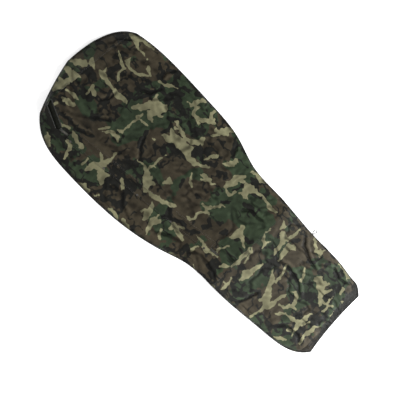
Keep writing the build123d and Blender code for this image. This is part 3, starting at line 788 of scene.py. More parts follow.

# black shapes, in the same way; several lie along the folds above and are painted fold shadows, not print
BLACK = [
    [(5, 100.5, 1.4), (9, 99.5, 1.4)],
    [(17, 90.5, 1.8), (21.5, 89, 1.8), (25, 90.5, 1.4)],
    [(14.5, 87, 1), (13, 90, 1)],
    [(-4, 81.5, 0.9), (2, 81, 1), (8, 81.5, 0.9)],
    [(-5, 78, 0.8), (1, 79, 0.9), (8, 79.5, 0.8)],
    [(-12, 79, 1), (-8.5, 75, 1.1), (-5, 70.5, 1)],
    [(1, 74, 0.9), (6, 71.5, 1)],
    [(13.5, 69, 1), (19, 66, 1.4), (24, 63.5, 1.8), (31, 61.5, 1.2)],
    [(21.5, 71, 1), (23.5, 65, 1.2)],
    [(22.5, 77, 0.9), (21, 72.5, 0.9)],
    [(39.5, 73, 0.9), (37, 68, 1.2), (33, 66.5, 1)],
    [(41, 67, 1.2), (44, 62, 1.6), (40.5, 60.5, 1.2)],
    [(25.5, 53, 1.4), (28.5, 55, 1.8), (33, 54, 1.8), (36.5, 51, 1.6)],
    [(31, 50, 1.2), (30.5, 46, 1.2)],
    # painted fold shadows beside the mouth: this stroke and the next one
    [(-26, 104, 1), (-30, 97.5, 1.2), (-32.5, 92, 1)],
    [(-22.5, 94, 0.7), (-22, 88, 0.8), (-23.5, 82, 0.9), (-21.5, 75, 1), (-19, 71, 0.8)],
    [(-41, 77, 0.9), (-42.5, 72, 1.4), (-43.5, 68, 1)],
    [(-42, 55, 1.5), (-40, 51, 1.6), (-38, 48, 1)],
    [(-25, 47, 1), (-22, 49.5, 1.3), (-18, 48, 1.2), (-16, 46, 0.8)],
    [(-5, 43, 1.8), (-3.5, 47, 1.6), (1, 48.5, 1.8), (4.5, 49.5, 1.6)],
    [(-9, 40, 1.2), (-6.5, 43, 1.4)],
    [(-11, 42.5, 0.8), (-13, 39, 1)],
    [(-6, 38, 1), (-5.5, 35.5, 1)],
    [(-38, 44, 1), (-32, 45, 1.2), (-29.5, 41.5, 1.4), (-32, 37.5, 1)],
    [(-37.5, 33, 1.2), (-34, 30, 1.6), (-31, 33, 1)],
    [(-26, 31.5, 1.3), (-25, 31, 1)],
    [(11.5, 43, 1), (15.5, 40.5, 1.8), (19, 42, 1.4)],
    [(20, 46, 1.2), (22.5, 43.5, 1.6), (24, 39.5, 1.2)],
    [(27, 36, 1.4), (25, 31.5, 1.2), (28, 29.5, 1.6), (29.5, 26, 1)],
    [(9, 35, 1), (11, 31.5, 1.2), (11.5, 28, 1.4)],
    [(7, 37, 0.8), (5.5, 34.5, 0.8)],
    [(17, 21, 1.4), (19, 19, 1.8), (17.5, 15.5, 2), (17, 12, 1.4)],
    [(20, 22, 1), (25.5, 22, 0.8)],
    [(18, 10, 1), (20, 7.5, 1.4), (23, 7.5, 1.2)],
    [(31, 2, 0.9), (33, 4.5, 1.2), (37, 6, 1.4), (39.5, 8, 1)],
    [(-3.5, 12.5, 1.1), (0, 13, 1)],
    [(-24.5, 7, 1.4), (-20.5, 5, 2), (-17, 7.5, 1.4), (-15, 10.5, 0.8)],
    [(-21, 1.5, 1.2), (-18, -3, 1), (-19, -10, 1)],
    [(-18, -12, 1.6), (-15.5, -15, 1.2)],
    [(-30, -17, 1.4), (-26, -15.5, 1.2), (-29, -20, 1)],
    [(-11.5, -15, 1.4), (-7.5, -17, 1.6), (-5.5, -13.5, 1)],
    [(8, -12.5, 1.2), (10.5, -15.5, 1)],
    [(16.5, -12, 1), (21, -13.5, 1), (25, -14.5, 1)],
    [(29.5, -15, 1.4), (31, -20, 1.4)],
    [(18, 4, 1), (21, -1, 1.4), (19.5, -3.5, 1)],
    [(-6.5, -25, 1.2), (-3.5, -27, 1.8)],
    [(15.5, -23, 1.4), (17.5, -27, 1.6), (15.5, -31, 1.2), (19, -31, 0.8)],
    [(1, -37.5, 1.2), (2.5, -41, 1.8)],
    [(-25, -33, 1.4), (-24.5, -38, 1.6), (-27.5, -42, 1.4)],
    [(-31, -34, 1), (-31.5, -40, 1.2)],
    [(-12, -47.5, 1.4), (-11.5, -50, 1)],
    [(-23.5, -53.5, 1.4), (-25, -57.5, 1.6), (-21, -61.5, 1.2)],
    [(-28.5, -57, 1.4), (-28, -62, 1.6)],
    [(-17, -62, 1), (-14, -66, 1.4), (-17, -68.5, 1)],
    [(-5, -60.5, 1.2), (1, -59.5, 1), (5, -61.5, 0.9)],
    [(7, -66, 1.2), (7.5, -71, 1.4), (6, -77.5, 1.2)],
    [(21, -59, 1.4), (24.5, -61.5, 1)],
    [(31, -51, 1.2), (30, -55.5, 1.4)],
    [(19, -74, 1.4), (21.5, -77.5, 1.2)],
    [(1.5, -86, 1.4), (5.5, -88.5, 2), (3, -91.5, 1.4)],
    [(-22.5, -87, 1.4), (-18.5, -90.5, 1.6), (-20.5, -94, 1)],
    [(25.5, -90.5, 1.4), (27, -95, 1.6)],
    [(-22, -100, 1), (-19.5, -102.5, 1), (-16, -99.5, 1.4), (-12.5, -101, 1.4)],
]

# where the print's ground is brown (1) or green (-1): x, y, reach across, reach along, in centimetres
GROUND = [
    (-17, 86, 8, 15, 1), (17, 97, 8, 5, 1), (40, 80, 6, 13, 1), (12, 78, 14, 5, 1), (-12, 72, 6, 5, 1),
    (-26, 66, 7, 8, 1), (36, 69, 10, 5, 1), (-16, 52, 9, 5, 1), (-5, 47, 10, 5, 1), (-40, 44, 8, 7, 1),
    (-36, 24, 9, 12, 1), (-28, 30, 8, 8, 1), (1, 40, 6, 6, 1), (-22, 38, 8, 5, 1), (4, 24, 9, 8, 1),
    (-3, 4, 10, 6, 1), (29, 14, 9, 7, 1), (4, 2, 8, 7, 1), (-18, 22, 4, 6, 1), (15, 2, 6, 5, 1),
    (-15, -8, 8, 7, 1), (0, -20, 8, 6, 1), (18, -3, 8, 5, 1), (-12, -24, 8, 5, 1), (-28, -28, 7, 6, 1),
    (35, -33, 3, 6, 1), (24, -46, 8, 3, 1), (-22, -46, 6, 3, 1), (30, -53, 6, 5, 1), (14, -67, 10, 5, 1),
    (24, -67, 6, 6, 1), (-5, -75, 9, 5, 1), (-26, -67, 8, 3, 1), (-22, -83, 8, 5, 1), (-5, -92, 8, 3, 1),
    (20, -83, 8, 3, 1), (-15, -108, 8, 3, 1), (25, -105, 5, 3, 1), (30, 102, 8, 6, 1), (2, 97, 5, 4, 1),
    (-33, 83, 4, 9, -1), (-13, 83, 6, 7, -1), (14, 107, 4, 7, -1), (30, 62, 5, 6, -1), (-38, 61, 6, 6, -1),
    (-6, 58, 6, 5, -1), (14, 47, 8, 5, -1), (-16, 41, 6, 5, -1), (28, 36, 6, 9, -1), (41, 33, 4, 7, -1),
    (5, 53, 10, 3, -1), (-7, 24, 5, 4, -1), (-3, 14, 6, 3, -1), (-31, -3, 6, 8, -1), (-7, -3, 8, 4, -1),
    (8, 33, 4, 4, -1), (24, -2, 4, 8, -1), (33, -6, 3, 8, -1), (8, -21, 7, 6, -1), (-8, -38, 8, 7, -1),
    (14, -38, 9, 8, -1), (27, -30, 4, 8, -1), (-20, -56, 6, 5, -1), (0, -58, 12, 3, -1),
    (-28, -78, 4, 5, -1),
    (12, -51, 10, 3, -1), (24, -88, 7, 5, -1), (8, -84, 6, 4, -1), (3, -104, 12, 4, -1), (22, -98, 7, 5, -1),
    (-31, 96, 5, 5, -1), (-25, 108, 8, 3, -1), (-9, 88, 4, 4, -1), (36, 56, 5, 4, -1),
]


field_reach = 18 * MM


def shapes_field(points, shapes):
    """How far inside the nearest shape each point is, in metres, and below 0 outside all of them."""
    field = np.full(len(points), -field_reach)
    for shape in shapes:
        shape = np.array(shape) * CM
        for a, b in zip(shape[:-1], shape[1:]):
            width = field_reach + max(a[2], b[2])
            low, high = np.minimum(a, b)[:2] - width, np.maximum(a, b)[:2] + width
            near = np.nonzero(np.all((points > low) & (points < high), axis=1))[0]
            way = b[:2] - a[:2]
            t = np.clip((points[near] - a[:2]) @ way / (way @ way), 0, 1)
            away = points[near] - a[:2] - t[:, None] * way
            inside = a[2] + (b[2] - a[2]) * t - np.hypot(away[:, 0], away[:, 1])
            field[near] = np.maximum(field[near], inside)
    return field


def painted_foot_end_shade(points):
    """How far inside the painted shade band along the foot end each point is: the foot end wall's shade,
    painted into the print's black.
    """
    left, right = ring_point(foot_left), ring_point(foot_right)
    way = (right - left) / np.linalg.norm(right - left)
    off = (points - left) @ np.array([-way[1], way[0]])
    along_end = (points - left) @ way
    starts, widens_over, narrow, wider = 60 * MM, 110 * MM, 6 * MM, 52 * MM
    deep = wider * ease((along_end - starts) / widens_over) + narrow
    deep = deep + 12 * MM * fractal(along_end / 0.05, off / 0.2, 191, 2)
    return np.clip(deep - off, -field_reach, field_reach)


def extra_black(x, y):
    """Branches and thin veins of black between the listed shapes, each in parts of the cloth."""
    branches = 0.14 - np.abs(fractal(x / 0.075 + 40, y / 0.11, 101, 4))
    branched = fractal(x / 0.2, y / 0.2 + 9, 111, 2) - 0.12
    veins = 0.12 - np.abs(fractal(x / 0.05 + 20, y / 0.06, 107, 3))
    veined = fractal(x / 0.12 + 5, y / 0.14, 117, 2) + 0.02
    return np.maximum(26 * MM * np.minimum(branches, 1.1 * branched), 20 * MM * np.minimum(veins, veined))


def ground_field(flat, warped):
    """Above 0 where the print's ground is brown, and below 0 where it is green."""
    strength, sharpness = 0.55, 0.8
    ground = 1.1 * fractal(flat[:, 0] / 0.09, flat[:, 1] / 0.10, 121, 4)
    for cx, cy, wide, long, sign in GROUND:
        d = ((warped[:, 0] / CM - cx) / wide) ** 2 + ((warped[:, 1] / CM - cy) / long) ** 2
        ground = ground + sign * strength * np.exp(-d * sharpness)
    return np.clip(ground * 30 * MM, -20 * MM, 20 * MM)


def print_fields(flat):
    """The print's tan, black and brown at each flat point, as distances inside their shapes; the black also
    carries the painted shade along the foot end and the painted fold shadows among the black shapes.
    """
    x, y = flat[:, 0], flat[:, 1]
    grain, shrink = 0.034, 2.2 * MM
    wobble = np.stack([fractal(x / grain, y / grain, 71, 4), fractal(x / grain, y / grain, 81, 4)], axis=1)
    warped = flat + 12 * MM * wobble
    ragged = 8.5 * MM * fractal(x / 0.02, y / 0.02, 91, 3)
    tan = shapes_field(warped, TAN) - shrink + ragged
    black = np.maximum(shapes_field(warped, BLACK) + 1.2 * ragged, extra_black(x, y))
    foot_end_shade = painted_foot_end_shade(warped)
    # the painted shade band along the foot end clears the tan and goes into the black
    tan, black = np.minimum(tan, 3 * MM - foot_end_shade), np.maximum(black, foot_end_shade)
    return tan, black, ground_field(flat, warped)


# ---------------------------------------------------------------- materials
def rgb(red, green, blue):
    """A colour from its 0 to 255 values as they are on a screen."""
    def linear(c):
        c /= 255
        return c / 12.92 if c <= 0.04045 else ((c + 0.055) / 1.055) ** 2.4
    return (linear(red), linear(green), linear(blue), 1)


def node(tree, kind, settings=None, **values):
    """A shader node with some settings, and values or links for its inputs by name or number."""
    made = tree.nodes.new("ShaderNode" + kind)
    for key, value in (settings or {}).items():
        setattr(made, key, value)
    for key, value in values.items():
        numbered = key[0] == "n" and key[1:].isdigit()
        socket = made.inputs[int(key[1:]) if numbered else key.replace("_", " ")]
        if isinstance(value, bpy.types.NodeSocket):
            tree.links.new(value, socket)
        else:
            socket.default_value = value
    return made


def mixed(tree, factor, a, b, how="MIX"):
    """Colour a blended towards colour b by the factor."""
    return node(tree, "Mix", {"data_type": "RGBA", "blend_type": how}, n0=factor, n6=a, n7=b).outputs[2]


def sums(tree, how, a, b, c=0.0):
    """One step of arithmetic on values or links."""
    return node(tree, "Math", {"operation": how}, n0=a, n1=b, n2=c).outputs[0]


def stepped(tree, value, low, high, at_low=0.0, at_high=1.0):
    """A smooth step from at_low to at_high as the value goes from low to high."""
    made = node(tree, "MapRange", {"interpolation_type": "SMOOTHSTEP"}, Value=value)
    for key, number in (("From Min", low), ("From Max", high), ("To Min", at_low), ("To Max", at_high)):
        made.inputs[key].default_value = number
    return made.outputs[0]


def attribute(tree, name, output="Fac"):
    """A value or vector stored at the mesh's points."""
    return node(tree, "Attribute", {"attribute_name": name}).outputs[output]


def object_vector(tree):
    """The place on the object, in its own metres."""
    return node(tree, "TexCoord").outputs["Object"]


def noise(tree, vector, scale, detail=3.0, roughness=0.5):
    """Noise from 0 to 1."""
    made = node(tree, "TexNoise", None, Vector=vector, Scale=scale, Detail=detail, Roughness=roughness)
    return made.outputs[0]


def weave(tree, vector, thread):
    """The relief of a plain weave with threads of that width in metres."""
    wave_period = 0.314
    scale = wave_period / (2 * thread)
    over = node(tree, "TexWave", {"bands_direction": "X"}, Vector=vector, Scale=scale)
    under = node(tree, "TexWave", {"bands_direction": "Y"}, Vector=vector, Scale=scale)
    return sums(tree, "MULTIPLY", over.outputs[1], under.outputs[1])


def material(name, roughness=0.6, specular=0.4, sheen=0.0, metallic=0.0):
    """A new material, its node tree and its shader, with the constants on the shader's sockets."""
    made = bpy.data.materials.new(name)
    made.use_nodes = True
    shader = made.node_tree.nodes["Principled BSDF"]
    shader.inputs["Roughness"].default_value = roughness
    shader.inputs["Specular IOR Level"].default_value = specular
    shader.inputs["Sheen Weight"].default_value = sheen
    shader.inputs["Metallic"].default_value = metallic
    return made, made.node_tree, shader


def feed(tree, shader, colour=None, roughness=None):
    """Links a colour and a roughness into the shader."""
    if colour is not None:
        tree.links.new(colour, shader.inputs["Base Color"])
    if roughness is not None:
        tree.links.new(roughness, shader.inputs["Roughness"])


def relief(tree, shader, height, distance, strength=1.0):
    """A bump of that height into the shader's normal."""
    bump = node(tree, "Bump", None, Height=height, Distance=distance, Strength=strength)
    tree.links.new(bump.outputs[0], shader.inputs["Normal"])


TONES = {"tan": rgb(93, 91, 69), "brown": rgb(42, 37, 27), "green": rgb(32, 41, 27),
         "black": rgb(13, 13, 10)}


def print_colour(tree, flat):
    """The four colours of the print, with crisp edges that waver by a thread or two."""
    wobble = sums(tree, "MULTIPLY", sums(tree, "SUBTRACT", noise(tree, flat, 240, 2.0), 0.5), 3 * MM)
    edge = 0.9 * MM
    colour = TONES["green"]
    for tone in ("brown", "black", "tan"):
        inside = sums(tree, "ADD", attribute(tree, "print_" + tone), wobble)
        colour = mixed(tree, stepped(tree, inside, -edge, edge), colour, TONES[tone])
    return colour


def printed_cloth(name, gain=1.0, grey=0.0, sheen=0.15, roughness=0.55, gloss=0.06, contrast=0.5):
    """Laminated nylon with the woodland print: its shapes, weave, fading and sheen; painted shade in its
    creases, hollows and small crumples, painted light on its ridges, and the weave's relief painted as tone.
    Its gain makes lighter or darker copies of the one cloth.
    """
    made, tree, shader = material(name, roughness, gloss, sheen)
    shader.inputs["Sheen Roughness"].default_value = 0.45
    flat = attribute(tree, "flat", "Vector")
    grey_tone = (0.02, 0.021, 0.02, 1)
    colour = mixed(tree, grey, print_colour(tree, flat), grey_tone)
    fade = stepped(tree, noise(tree, flat, 6, 4.0, 0.6), 0.3, 0.7, 0.86 * gain, 1.16 * gain)
    # painted shade in the creases and hollows and painted light on the ridges, from the crease attribute;
    # contrast sets its strength
    tape_wear_and_crease_shade = stepped(tree, attribute(tree, "crease"), -1, 1, 1 - contrast, 1 + contrast)
    # painted shade of small crumples, as a tone that changes at random
    painted_crumple_shade = stepped(tree, noise(tree, flat, 26, 5.0, 0.68), 0.32, 0.68, 0.86, 1.14)
    threads = weave(tree, flat, 0.45 * MM)
    tone = sums(tree, "MULTIPLY", sums(tree, "MULTIPLY", fade, tape_wear_and_crease_shade), painted_crumple_shade)
    # the weave's relief painted as tone: a little lighter on the raised threads, darker between them
    tone = sums(tree, "MULTIPLY", tone, stepped(tree, threads, 0, 1, 0.94, 1.05))
    shade = node(tree, "CombineColor", None, Red=tone, Green=tone, Blue=tone).outputs[0]
    crinkle = noise(tree, flat, 70, 4.0, 0.62)
    feed(tree, shader, mixed(tree, 1.0, colour, shade, "MULTIPLY"),
         stepped(tree, crinkle, 0.3, 0.7, roughness - 0.07, roughness + 0.1))
    relief(tree, shader, sums(tree, "MULTIPLY_ADD", threads, 0.06, crinkle), 2.2 * MM, 0.55)
    return made


def coated_cloth(name, colour, inner):
    """The floor's plain coated cloth: a tight weave, scuffs and faint creases."""
    made, tree, shader = material(name, 0.6, 0.12, 0.0)
    flat = attribute(tree, "flat", "Vector")
    scuffs = stepped(tree, noise(tree, flat, 9, 5.0, 0.65), 0.35, 0.75)
    threads = weave(tree, flat, 0.5 * MM)
    colour = mixed(tree, scuffs, colour, inner)
    crinkle = noise(tree, flat, 45, 4.0, 0.6)
    feed(tree, shader, mixed(tree, stepped(tree, threads, 0, 1, 0, 0.25), colour, rgb(30, 32, 28)),
         stepped(tree, crinkle, 0.3, 0.7, 0.52, 0.7))
    relief(tree, shader, sums(tree, "MULTIPLY_ADD", threads, 0.06, crinkle), 2 * MM, 0.5)
    return made


def ribbed_tape(name, colour, tape_wear_and_crease_shade, rib=1.1 * MM):
    """Woven binding, webbing or zipper tape, with ribs across it, painted shade in the grooves between them,
    and wear at its edge.
    """
    made, tree, shader = material(name, 0.75, 0.3, 0.25)
    flat = attribute(tree, "flat", "Vector")
    ribs = weave(tree, flat, rib)
    fluff = stepped(tree, noise(tree, flat, 90, 4.0, 0.7), 0.35, 0.75)
    base = mixed(tree, fluff, colour, tape_wear_and_crease_shade)
    # painted shade in the grooves between the ribs
    feed(tree, shader, mixed(tree, stepped(tree, ribs, 0, 1, 0.35, 0), base, rgb(12, 12, 11)))
    relief(tree, shader, sums(tree, "MULTIPLY_ADD", fluff, 0.3, ribs), 0.5 * MM, 0.8)
    return made


def lacquered_metal(name, colour, bare, roughness=0.38):
    """Blackened brass: lacquer with fine scratches, worn to the metal here and there."""
    made, tree, shader = material(name, roughness, 0.5, 0.0, 0.75)
    place = object_vector(tree)
    wear = stepped(tree, noise(tree, place, 420, 5.0, 0.7), 0.60, 0.72)
    stretched = node(tree, "Mapping", None, Vector=place, Scale=(900, 160, 400)).outputs[0]
    scratches = noise(tree, stretched, 1.0, 3.0, 0.6)
    feed(tree, shader, mixed(tree, wear, colour, bare),
         stepped(tree, scratches, 0.3, 0.7, roughness - 0.1, roughness + 0.16))
    relief(tree, shader, scratches, 0.05 * MM, 0.6)
    return made


def grained(name, colour, other, scale, rough_grain, depth, strength, roughness):
    """Moulded nylon or glued film: one colour flecked with another over a fine grain."""
    made, tree, shader = material(name, roughness, 0.5)
    grain = noise(tree, object_vector(tree), scale, 3.0, rough_grain)
    feed(tree, shader, mixed(tree, stepped(tree, grain, 0.35, 0.7), colour, other))
    relief(tree, shader, grain, depth, strength)
    return made


def plastic(name, colour):
    """Moulded nylon with a fine grain."""
    return grained(name, colour, rgb(46, 48, 40), 700, 0.6, 0.08 * MM, 0.5, 0.42)


def film(name, colour):
    """The clear-backed tape that seals the seams inside, with its glue's ripple."""
    return grained(name, colour, rgb(96, 100, 88), 160, 0.55, 0.3 * MM, 0.6, 0.33)


def twisted(name, colour, dark, scale=900):
    """Thread or braided cord: slanting strands with painted shade in the gaps between them."""
    made, tree, shader = material(name, 0.8, 0.25, 0.3)
    place = object_vector(tree)
    strand = node(tree, "TexWave", {"bands_direction": "DIAGONAL"}, Vector=place, Scale=scale / 6)
    fluff = noise(tree, place, scale, 2.0)
    mask = sums(tree, "MULTIPLY", strand.outputs[1], stepped(tree, fluff, 0.3, 0.7, 0.7, 1.0))
    # painted shade in the gaps between the strands
    feed(tree, shader, mixed(tree, mask, dark, colour))
    relief(tree, shader, mask, 0.25 * MM, 0.8)
    return made


# ---------------------------------------------------------------- the materials by slot
metal = lacquered_metal("blackened_brass", rgb(44, 43, 40), rgb(150, 128, 84))
finishes = {
    "crown_cloth": printed_cloth("crown_cloth", gain=0.92, grey=0.2, sheen=0.04, roughness=0.5),
    "torso_cloth": printed_cloth("torso_cloth", gain=1.02, grey=0.1, sheen=0.02, roughness=0.56,
                                 contrast=0.6),
    # the leg cloth, painted lighter and greyer by its gain and grey mix for the sheen of the light from past
    # the feet, with a stronger painted crease shade
    "leg_cloth": printed_cloth("leg_cloth", gain=1.36, grey=0.2, sheen=0.05, roughness=0.5, gloss=0.1,
                               contrast=0.7),
    # the foot end wall's cloth, painted dark for the shade it lies in
    "foot_cloth": printed_cloth("foot_cloth", gain=0.45, grey=0.25, sheen=0.03, roughness=0.45,
                                gloss=0.12),
    "flap_cloth": printed_cloth("flap_cloth", gain=1.02, grey=0.1, sheen=0.02, roughness=0.55),
    # the floor cloth's own coated colours, darkened as painted shade for the inside of the sack
    "floor_cloth": coated_cloth("floor_cloth", rgb(36, 38, 30), rgb(26, 28, 22)),
    "binding_tape": ribbed_tape("binding_tape", rgb(17, 18, 15), rgb(40, 41, 33)),
    "seam_tape": film("seam_tape", rgb(122, 124, 110)),
    "zipper_tape": ribbed_tape("zipper_tape", rgb(38, 40, 32), rgb(64, 66, 52), 0.8 * MM),
    "zipper_chain": plastic("zipper_chain", rgb(30, 32, 26)),
    "zipper_metal": metal,
    "snap_metal": metal,
    "webbing": ribbed_tape("webbing", rgb(52, 55, 42), rgb(84, 88, 68), 1.2 * MM),
    "cord": twisted("cord", rgb(13, 13, 11), rgb(5, 5, 4)),
    "thread": twisted("thread", rgb(27, 28, 21), rgb(14, 14, 11), 1500),
}


def dressed(piece, slot, *replaced, body="sack"):
    """Gives a new piece its finish and its body, and hides the CAD nodes it stands for."""
    piece.data.materials.append(finishes[slot])
    if body:
        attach(piece, body)
    if replaced:
        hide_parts(*replaced)
    return piece


# ---------------------------------------------------------------- the front, panel by panel
def halved(grid):
    """The grid with a row added midway between each two, on a smooth curve through the rows."""
    wide = np.concatenate([2 * grid[:1] - grid[1:2], grid, 2 * grid[-1:] - grid[-2:-1]])
    between = (9 * (wide[1:-2] + wide[2:-1]) - wide[:-3] - wide[3:]) / 16
    fine = np.empty((2 * len(grid) - 1, *grid.shape[1:]))
    fine[::2], fine[1::2] = grid, between
    return fine


def refined(grid):
    """The grid twice as fine both ways."""
    return halved(halved(grid).transpose(1, 0, 2)).transpose(1, 0, 2)


def grid_faces(rows, columns):
    """The quads of a grid of points."""
    corner = (np.arange(rows - 1)[:, None] * columns + np.arange(columns - 1)).ravel()
    return np.stack([corner, corner + 1, corner + columns + 1, corner + columns], axis=1).tolist()


def merged(piece):
    """The piece without points that lie on each other, or the faces between them."""
    work = bmesh.new()
    work.from_mesh(piece.data)
    bmesh.ops.remove_doubles(work, verts=work.verts, dist=0.02 * MM)
    work.to_mesh(piece.data)
    work.free()
    return piece


def neighbour_mean(values, pairs, rounds):
    """Each point's value averaged with its neighbours', that many times over."""
    a, b = pairs.T
    count = np.bincount(a, minlength=len(values)) + np.bincount(b, minlength=len(values))
    for _ in range(rounds):
        total = np.bincount(a, values[b], len(values)) + np.bincount(b, values[a], len(values))
        values = 0.5 * values + 0.5 * total / count
    return values


def edge_pairs(faces):
    """The pairs of points that share an edge, once each."""
    pairs = {tuple(sorted((face[n - 1], face[n]))) for face in faces for n in range(len(face))}
    return np.array(sorted(pairs))


def printed_attributes(flat, crease):
    """What the printed cloth's material reads at each point."""
    tan, black, brown = print_fields(flat)
    return {"flat": np.column_stack([flat, np.zeros(len(flat))]), "crease": crease,
            "print_tan": tan, "print_black": black, "print_brown": brown}


# the panels whose cloth isn't the torso's
front_slots = {"crown_panel": "crown_cloth", "leg_panel": "leg_cloth", "foot_panel": "foot_cloth"}
# how deep a fold or a hollow is where its painted crease shade is full
fold_tone, hollow_tone = 7 * MM, 2.6 * MM
seam_depth = 1.6 * MM


def settled_front(flat, grids):
    """Each front point's place, its flat place, and how far it stands out of its surroundings, which the
    cloth paints as shade in hollows and folds and as light on ridges.
    """
    faces = [quad for grid in grids.values() for quad in quads_of(grid)]
    settled = simulate_front(flat, faces, grids)
    pairs = edge_pairs(faces)
    settled[:, 2] = neighbour_mean(settled[:, 2], pairs, 3)
    inset = inset_of(flat)
    near = opening_nearness(flat, inset)
    loose = ease((inset - 12 * MM) / (40 * MM)) * (1 - near)
    settled[:, 2] += (0.9 * folds(flat) + creases(flat)) * loose
    settled = finish_heights(settled, inset, near)
    hollow = settled[:, 2] - neighbour_mean(settled[:, 2], pairs, 14)
    # the crease value: painted shade in hollows and along the folds, painted light on ridges
    crease = neighbour_mean(hollow, pairs, 1) / hollow_tone + folds(flat) / fold_tone
    table = np.column_stack([settled, flat, np.clip(crease, -1, 1)])
    for name, edge in (("leg_panel", -1), ("leg_panel", 0), ("crown_panel", 0)):
        table[np.unique(grids[name][edge][4:-4]), 2] -= seam_depth
    return table


def front_panel(name, coarse):
    """One front panel as a finely divided printed sheet; gives its fine grid back."""
    fine = refined(coarse)
    corners = fine.reshape(-1, 6)
    own = printed_attributes(corners[:, 3:5], np.clip(corners[:, 5], -1, 1))
    piece = merged(new_piece(name + "_cloth", corners[:, :3], grid_faces(*fine.shape[:2]), own))
    dressed(piece, front_slots.get(name, "torso_cloth"), name)
    return fine


def make_front():
    """The five front panels in their settled shape, and each one's fine grid of points."""
    flat, grids = weld(front_patches())
    table = settled_front(flat, grids)
    return {name: front_panel(name, table[grid]) for name, grid in grids.items()}


def beside(grid, offset, edge):
    """The line on a panel that runs offset metres in from its low or its high edge."""
    rows_near = 7
    strip = (grid if edge == "low" else grid[::-1])[:rows_near, :, :3]
    steps = np.linalg.norm(np.diff(strip, axis=0), axis=2)
    reach = np.vstack([np.zeros(steps.shape[1]), np.cumsum(steps, axis=0)])
    return np.array([[np.interp(offset, reach[:, c], strip[:, c, k]) for k in range(3)]
                     for c in range(strip.shape[1])])


# ---------------------------------------------------------------- sewing
def spaced(line, places):
    """Points at those distances along a line."""
    line = np.asarray(line, float)
    reach = reach_along(line)
    return np.stack([np.interp(places, reach, line[:, k]) for k in range(line.shape[1])], axis=-1)


def length_of(line):
    """The length of a line of points."""
    return float(np.linalg.norm(np.diff(np.asarray(line, float), axis=0), axis=1).sum())


def sewn(name, lines, body="sack", length=3.4 * MM, gap=1.4 * MM, thick=0.35 * MM):
    """A row of thread stitches along each line, each one a small spindle half sunk in the cloth."""
    shapes = []
    for line in lines:
        starts = np.arange(gap, length_of(line) - length, length + gap)
        a, b = spaced(line, starts), spaced(line, starts + length)
        way = b - a
        side = np.stack([-way[:, 1], way[:, 0], 0 * way[:, 0]], axis=1)
        side *= thick / np.maximum(np.linalg.norm(side, axis=1), 1e-9)[:, None]
        up = np.array([0, 0, 1.3 * thick])
        near, far = a + 0.2 * way, a + 0.8 * way
        shapes.append(np.stack([a, near + side, near + up, near - side, near - up, far + side,
                                far + up, far - side, far - up, b], axis=1))
    shapes = np.concatenate(shapes)
    ends = [(0, 1 + (n + 1) % 4, 1 + n) for n in range(4)] + [(9, 5 + n, 5 + (n + 1) % 4) for n in range(4)]
    sides = [(1 + n, 1 + (n + 1) % 4, 5 + (n + 1) % 4, 5 + n) for n in range(4)]
    faces = [[10 * k + c for c in face] for k in range(len(shapes)) for face in ends + sides]
    return dressed(new_piece(name, shapes.reshape(-1, 3), faces), "thread", body=body)


def tube_faces(rows, count):
    """The faces of a closed section of count points in that many rows, with both ends shut."""
    faces = []
    for i in range(rows - 1):
        for j in range(count):
            k = (j + 1) % count
            faces.append([i * count + j, i * count + k, (i + 1) * count + k, (i + 1) * count + j])
    return faces + [list(range(count))[::-1], [(rows - 1) * count + j for j in range(count)]]


def swept(place, profile, stations, lift=None):
    """A closed profile of (u, height) points swept along the stations; place gives u's x and y."""
    profile = np.array(profile)
    rows, count = len(stations), len(profile)
    u = np.tile(profile[:, 0], (rows, 1))
    height = np.tile(profile[:, 1], (rows, 1))
    station = np.tile(np.asarray(stations)[:, None], (1, count))
    if lift is not None:
        height = height + lift(u, station)
    ground = np.stack([place(u[:, k], station[:, k]) for k in range(count)], axis=1)
    points = np.concatenate([ground, height[..., None]], axis=2)
    cloth = np.stack([station, np.tile(reach_along(profile), (rows, 1)), 0 * u], axis=2)
    return points.reshape(-1, 3), tube_faces(rows, count), cloth.reshape(-1, 3)


def turned_out(piece):
    """The piece with its faces' outsides outwards."""
    work = bmesh.new()
    work.from_mesh(piece.data)
    bmesh.ops.recalc_face_normals(work, faces=work.faces)
    work.to_mesh(piece.data)
    work.free()
    return piece


def band_profile(low_u, high_u, low, high, round_off=0.35):
    """A flat band's section with its corners rounded off."""
    r = min(round_off * (high - low), 0.3 * abs(high_u - low_u))
    return [(low_u, low + r), (low_u + r, low), (high_u - r, low), (high_u, low + r),
            (high_u, high - r), (high_u - r, high), ((low_u + high_u) / 2, high), (low_u + r, high),
            (low_u, high - r)]


def band(name, slot, place, section, stations, *replaced, lift=None):
    """A tape with that section, swept along the stations."""
    points, faces, cloth = swept(place, section, stations, lift)
    piece = turned_out(new_piece(name, points, faces, {"flat": cloth}))
    return dressed(piece, slot, *replaced)


def stations_over(low, high, step):
    """Evenly spaced places from low to high, at most a step apart."""
    return np.linspace(low, high, int(math.ceil(abs(high - low) / step)) + 1)


def edge_ripple(u, s):
    """The bound tape's small ribs and its unevenness."""
    ribs = 0.22 * MM * np.sin(s / (1.7 * MM)) * (u > 1 * MM)
    return ribs + 0.2 * MM * fractal(s / 0.02, u * 0, 61, 2)


def make_bindings():
    """The tape bound round the edge, in the CAD model's three lengths, with its stitches."""
    section = band_profile(0, binding_width, binding_low, binding_high - 0.3 * MM, 0.45)
    runs = {"right_binding": (right_foot, crown_top), "left_binding": (crown_top, ring_length + left_foot),
            "foot_binding": (left_foot, right_foot)}
    rows = []
    for name, (start, end) in runs.items():
        stations = stations_over(start, end, 3.4 * MM)
        band(name + "_tape", "binding_tape", edge_place, section, stations, name, lift=edge_ripple)
        s = stations_over(start, end, 4 * MM)
        flat = edge_place(np.full(len(s), 5.4 * MM), s)
        rows.append(np.column_stack([flat, np.full(len(s), binding_high - 0.15 * MM)]))
    sewn("binding_stitches", rows)


